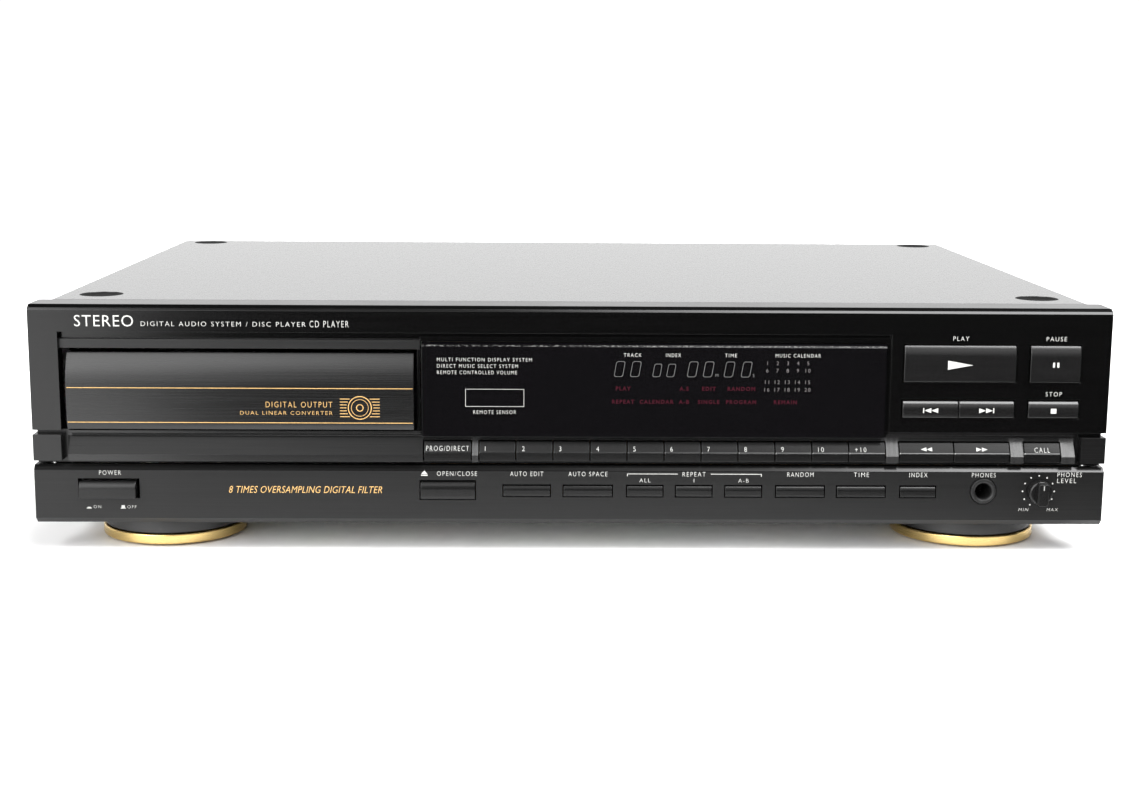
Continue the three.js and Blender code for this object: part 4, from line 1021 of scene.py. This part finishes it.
def build_knob():
    """A round skirt with a straight grip across it, on its shaft, and a grey pointer on the grip."""
    front = extent("level_knob")[0].y
    fascia = extent("lower_fascia")[0].y
    radius = radius_and_ends("level_knob")[0]
    centre = middle("level_knob")
    here = facing("front", centre.x, fascia, centre.z)
    seat, skirt_top, shaft, shaft_end = 0.4, 4.5, 2.95, -14.0
    grip, half = 2.1, radius - 0.45
    skirt = [(0, seat), (radius, seat), (radius, skirt_top - 0.9), (radius - 0.35, skirt_top - 0.3),
             (radius - 0.9, skirt_top), (0, skirt_top)]
    flank = [(grip - 0.5, -half), (grip, -half + 0.8), (grip, half - 0.8), (grip - 0.5, half)]
    outline = flank + [(-x, -y) for x, y in flank]
    knob = Solid().turned(skirt, here, sides=64).prism(outline, skirt_top - 0.3, fascia - front, here)
    knob.turned([(0, shaft_end), (shaft, shaft_end), (shaft, seat + 0.2), (0, seat + 0.2)], here, sides=32)
    piece = knob.make("level_knob_turned", "knob_plastic", "level", slot="black_plastic")
    soften(piece, 0.3)
    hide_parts("level_knob")
    pointer = Print(front_face(front))
    pointer.bar(centre.x - 0.2, centre.z + half - 2.4, centre.x + 0.2, centre.z + half - 0.6)
    pointer.make("level_pointer", "ink_grey", "level")


def build_phones_jack():
    """A ring with its bush through the fascia, and the socket's body with two pairs of lugs behind."""
    low, high = extent("phones_jack")
    fascia = extent("lower_fascia")[0].y
    centre = middle("phones_jack")
    here = facing("front", centre.x, fascia, centre.z)
    ring, bore, depth = 5.25, 3.25, -13
    half, tall, back = (high.x - low.x) / 2, 8, fascia - high.y
    bush = Solid().turned([
        (bore, depth), (ring - 0.05, depth), (ring, -6), (ring, 0.3), (ring - 0.25, 0.75), (ring - 0.7, 0.9),
        (bore + 0.9, 0.9), (bore + 0.35, 0.6), (bore, 0.0)], here, sides=64)
    piece = bush.make("phones_bush", "jack_plastic", slot="black_plastic")
    soften(piece, 0.1)
    shell = Solid().block((-half, -tall, back), (half, tall, depth - 0.3), here)
    for height in (-5, 5):
        shell.block((-half - 0.5, height - 1, back + 4), (half + 0.5, height + 1, back + 7), here)
    body = shell.make("phones_body", "black_plastic", slot="black_plastic")
    soften(body, 0.3)
    # painted shade: a near-black disc closes the far end of the bore, for the shade deep inside it
    end, disc = (depth + 0.1, depth + 0.6), bore - 0.05
    bore_shade = Solid().turned([(0, end[0]), (disc, end[0]), (disc, end[1]), (0, end[1])], here, sides=32)
    bore_shade.make("phones_contact", "dark_gap")
    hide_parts("phones_jack")


def screw(solid, matrix, radius):
    """A pan head."""
    solid.turned([(0, -0.2), (radius, -0.2), (radius, 0.4), (radius * 0.93, 0.9), (radius * 0.7, 1.4),
                  (radius * 0.35, 1.65), (0, 1.7)], matrix, sides=40)


def cross(solid, matrix, radius):
    """Two dark bars that lie across a pan head and stand out just enough to be seen: painted shade in place
    of the cross recess.
    """
    arm, half = radius * 0.55, radius * 0.12
    for low, high in (((-arm, -half), (arm, half)), ((-half, -arm), (half, arm))):
        solid.block((*low, 0.8), (*high, 1.78), matrix)


def screw_places():
    """Place and radius of each screw: four in the cover, six in the rear panel, one by the sockets."""
    low, high = extent("top_cover")
    for side, edge in zip(SIDES, (low.x, high.x)):
        for along in (0.16, 0.82):
            yield facing(side, edge, low.y + along * (high.y - low.y), low.z + 12), 3.4
    low, high = extent("rear_panel")
    for x in (low.x + 14, middle("rear_panel").x, high.x - 14):
        for z in (low.z + 7, high.z - 5):
            yield facing("back", x, high.y, z), 2.6
    jacks = middle("output_jacks")
    yield facing("back", jacks.x - 15, high.y, jacks.z), 2.2


def build_screws():
    heads, slots = Solid(), Solid()
    for matrix, radius in screw_places():
        screw(heads, matrix, radius)
        cross(slots, matrix, radius)
    heads.make("screw_heads", "screw_black")
    # painted shade: the dark bars stand in for the shade in the cross recesses
    slots.make("screw_slots", "dark_gap", smooth=False)


def build_bay_liner():
    """Near-black walls behind the fascia that close the drawer's bay off from the case, at its left and its
    top, as painted shade inside the bay.
    """
    thick = 0.8
    far = extent("upper_fascia")[1]
    rail = extent("button_rail")[1]
    left = extent("tray_front")[0].x - 5.5
    right = extent("display_window")[0].x
    front, ceiling = rail.y - 9.6, far.z - 11.5
    liner = Solid().block((left - thick, front, rail.z - 11), (left, far.y, far.z - 4))
    liner.block((left, front, ceiling), (right, far.y, ceiling + thick))
    liner.make("bay_liner", "dark_gap", smooth=False)


def build_cover_plugs():
    """Soft round plugs set into the four corner recesses of the cover."""
    recess, rim, sunk = 0.5, 0.15, 0.12
    high = extent("top_cover")[1]
    floor = high.z - recess
    centre = middle("top_cover")
    rims = [v.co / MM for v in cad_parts["top_cover"].data.vertices if abs(v.co.z / MM - floor) < NEAR]
    plugs = Solid()
    for right in (False, True):
        for back in (False, True):
            corner = [p for p in rims if (p.x > 0) == right and (p.y >= centre.y) == back]
            xs, ys = [p.x for p in corner], [p.y for p in corner]
            radius = (max(xs) - min(xs)) / 2 - rim
            place = Matrix.Translation(((min(xs) + max(xs)) / 2, (min(ys) + max(ys)) / 2, floor + 0.02))
            plugs.turned([(0, 0), (radius, 0), (radius, 0.25), (radius - 0.4, 0.36), (radius - 2.2, 0.3),
                          (radius - 2.6, sunk), (0, sunk)], place)
    plugs.make("cover_plugs", "rubber")


# ---- rear side

SOCKET_SIDES = 48
SOCKET_SPACING = 9          # points nearer to each other than this belong to one socket


def socket_centres(tips):
    """Middles of the socket ends, by gathering the points that lie within a socket's width of each other."""
    groups = []
    for x, z in tips:
        for group in groups:
            if math.hypot(x - group[0][0], z - group[0][1]) < SOCKET_SPACING:
                group.append((x, z))
                break
        else:
            groups.append([(x, z)])
    return [tuple((min(p[k] for p in g) + max(p[k] for p in g)) / 2 for k in (0, 1)) for g in groups]


def tube(inner, outer, start, end):
    """The profile of a tube."""
    return [(inner, start), (outer, start), (outer, end), (inner, end)]


def build_output_jacks():
    """Gold sleeves round coloured inserts: four analogue sockets in a square, and the digital one apart."""
    low, high = extent("output_jacks")
    panel_low, panel_high = extent("rear_panel")
    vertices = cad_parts["output_jacks"].data.vertices
    centres = socket_centres([(v.co.x / MM, v.co.z / MM) for v in vertices if v.co.y / MM > high.y - NEAR])
    apart = max(x for x, z in centres) - 10
    square, digital = [c for c in centres if c[0] < apart], [c for c in centres if c[0] >= apart]
    level, reach = middle("output_jacks").z, high.y - panel_high.y
    body, sleeves = Solid(), Solid()
    inserts = {colour: Solid() for colour in ("socket_white", "socket_red", "jack_black")}
    for group in (square, digital):
        xs, zs = [x for x, z in group], [z for x, z in group]
        body.block((min(xs) - 10, low.y, min(zs) - 9.5), (max(xs) + 10, panel_low.y - 0.3, max(zs) + 9.5))
    for x, z in centres:
        here = facing("back", x, panel_high.y, z)
        body.turned([(0, -2), (5.6, -2), (5.6, 1.4), (5.2, 1.9), (0, 1.9)], here, SOCKET_SIDES)
        sleeves.turned([(3.35, 1.5), (4.15, 1.5), (4.15, reach - 0.3), (3.95, reach), (3.55, reach),
                        (3.35, reach - 0.3)], here, SOCKET_SIDES)
        colour = "jack_black" if (x, z) in digital else "socket_white" if z > level else "socket_red"
        inserts[colour].turned(tube(1.7, 3.3, 1.5, reach - 1.2), here, SOCKET_SIDES)
    piece = body.make("output_block", "black_plastic", slot="black_plastic")
    soften(piece, 0.2)
    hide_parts("output_jacks")
    soften(sleeves.make("output_sleeves", "gold_ring"), 0.05)
    for colour, solid in inserts.items():
        soften(solid.make(f"output_{colour}", colour), 0.08)


def print_rear():
    low, high = extent("rear_panel")
    jacks_low, jacks_high = extent("output_jacks")
    left, right = jacks_low.x, jacks_high.x
    marks = Print(rear_face(high.y))
    for text, x, z, height in (
            ("LINE OUT", left + 20, jacks_high.z + 3.0, 2.4), ("L", left + 0.4, jacks_high.z - 7, 2.2),
            ("R", left + 0.4, jacks_low.z + 9, 2.2), ("DIGITAL OUT", right - 10, jacks_high.z - 4, 2.2),
            ("COAXIAL", right - 10, jacks_low.z + 6, 2.0), ("AC IN", high.x - 28, low.z + 28, 2.4)):
        marks.word(text, -x, z, height)
    marks.make("rear_print")


# ---- studio

# Round lights on the sky: azimuth and elevation, the radii where the light is full and where it ends, all in
# degrees, and its strength. Azimuth 0 is behind the camera, and grows to the player's right.
LIGHTS = [
    (66, 61, 20, 27, 12.0),      # overhead softbox, to the right
    (-55, 56, 8, 14, 6.0),       # small lamp above, to the left
    (-38, 36, 15, 31, 4.6),      # tall window far to the left, its upper half
    (-37, 8, 13, 29, 4.6),       # and its lower half
    (25, 34, 4, 36, 0.9),        # pale wall to the right
]
ROOM = 0.03                 # the dark room round the lights
BACKDROP = 1.06             # the pale wall behind the player, which the camera sees on all sides


def sky_direction(azimuth, elevation):
    around, up = math.radians(azimuth), math.radians(elevation)
    return Vector((math.sin(around) * math.cos(up), -math.cos(around) * math.cos(up), math.sin(up)))


def build_world():
    world = bpy.data.worlds.new("studio")
    bpy.context.scene.world = world
    world.use_nodes = True
    sky = Graph(world.node_tree)
    direction = sky.node("TexCoord").outputs["Generated"]
    split = sky.node("SeparateXYZ", None, {0: direction})
    behind = sky.span(split.outputs["Y"], 0.0, BACKDROP - ROOM, -0.1, 0.25, smooth=True)
    low_down = sky.span(split.outputs["Z"], 1.0, 0.0, 0.5, 0.75, smooth=True)
    level = sky.math("ADD", sky.times(behind, low_down), ROOM)
    for azimuth, elevation, inner, outer, strength in LIGHTS:
        aim = sky_direction(azimuth, elevation)
        dot = sky.node("VectorMath", {"operation": "DOT_PRODUCT"}, {0: direction, 1: aim}).outputs["Value"]
        rim, core = math.cos(math.radians(outer)), math.cos(math.radians(inner))
        level = sky.math("ADD", level, sky.span(dot, 0.0, strength, rim, core, smooth=True))
    seen = sky.times(sky.node("LightPath").outputs["Is Camera Ray"], BACKDROP)
    background = sky.tree.nodes["Background"].inputs
    sky.feed(background["Strength"], sky.math("MAXIMUM", level, seen))
    sky.feed(background["Color"], 1)


def floor_paper():
    """Pale paper. In the front's reflections it reaches only a short way, and then the dark room follows."""
    finish = Finish("floor_paper", roughness=0.9, specular=0.1)
    finish.paint(finish.noise(120, detail=3), 0.86, 0.9)
    across = finish.axis("X")
    reach = finish.math("SUBTRACT", extent("upper_fascia")[0].y, finish.axis("Y"))
    shadowed = finish.times(finish.math("MAXIMUM", finish.math("SUBTRACT", across, 60), 0), 0.5)
    near = finish.span(finish.math("ADD", reach, shadowed), 1, 0, 60, 190, smooth=True)
    aside = finish.math("SUBTRACT", finish.times(across, -1.0), finish.times(reach, 0.28))
    left = finish.span(aside, 0, 1, 115, 185, smooth=True)
    unlit = finish.math("SUBTRACT", 1.0, finish.math("MAXIMUM", near, left))
    dark = finish.times(finish.node("LightPath").outputs["Is Glossy Ray"], unlit)
    shade = finish.out("Emission", None, {"Color": ROOM, "Strength": 1.0})
    blend = finish.out("MixShader", None, {0: dark, 1: finish.shader.outputs[0], 2: shade})
    finish.feed(finish.tree.nodes["Material Output"].inputs["Surface"], blend)
    return finish.material


def build_floor():
    size = 6000
    mesh = bpy.data.meshes.new("floor")
    corners = [(-size, -size, 0), (size, -size, 0), (size, size, 0), (-size, size, 0)]
    mesh.from_pydata([Vector(p) * MM for p in corners], [], [(0, 1, 2, 3)])
    mesh.materials.append(floor_paper())
    floor = bpy.data.objects.new("floor", mesh)
    bpy.context.scene.collection.objects.link(floor)


def build_camera():
    """The camera stands in front of the fascia, a little left of the middle, and looks slightly down."""
    left, back, height = 14.1, 696, 186.9
    yaw, pitch, roll = 0.0188, 0.1758, 0.007
    forward = Vector((math.sin(yaw) * math.cos(pitch), math.cos(yaw) * math.cos(pitch), -math.sin(pitch)))
    level = Vector((math.cos(yaw), -math.sin(yaw), 0))
    upright = level.cross(forward)
    right = math.cos(roll) * level + math.sin(roll) * upright
    up = math.cos(roll) * upright - math.sin(roll) * level
    data = bpy.data.cameras.new("camera")
    data.sensor_width = 36
    data.lens = 55.465
    camera = bpy.data.objects.new("camera", data)
    axes = Matrix((right, up, -forward)).transposed().to_4x4()
    place = Vector((-left, extent("upper_fascia")[0].y - back, height)) * MM
    camera.matrix_world = Matrix.Translation(place) @ axes
    bpy.context.scene.collection.objects.link(camera)
    bpy.context.scene.camera = camera


dress_nodes()
print_fascia()
print_symbols()
print_rail()
print_lower()
print_drawer()
print_display()
for crowned, crown in CROWNED_KEYS.items():
    build_crowned_key(crowned, crown)
for foot_side in SIDES:
    build_front_foot(foot_side)
    build_gold_ring(foot_side)
    build_rear_foot(foot_side)
build_knob()
build_phones_jack()
build_screws()
build_bay_liner()
build_cover_plugs()
build_output_jacks()
print_rear()
build_world()
build_floor()
build_camera()
bpy.context.scene.view_settings.view_transform = "Standard"
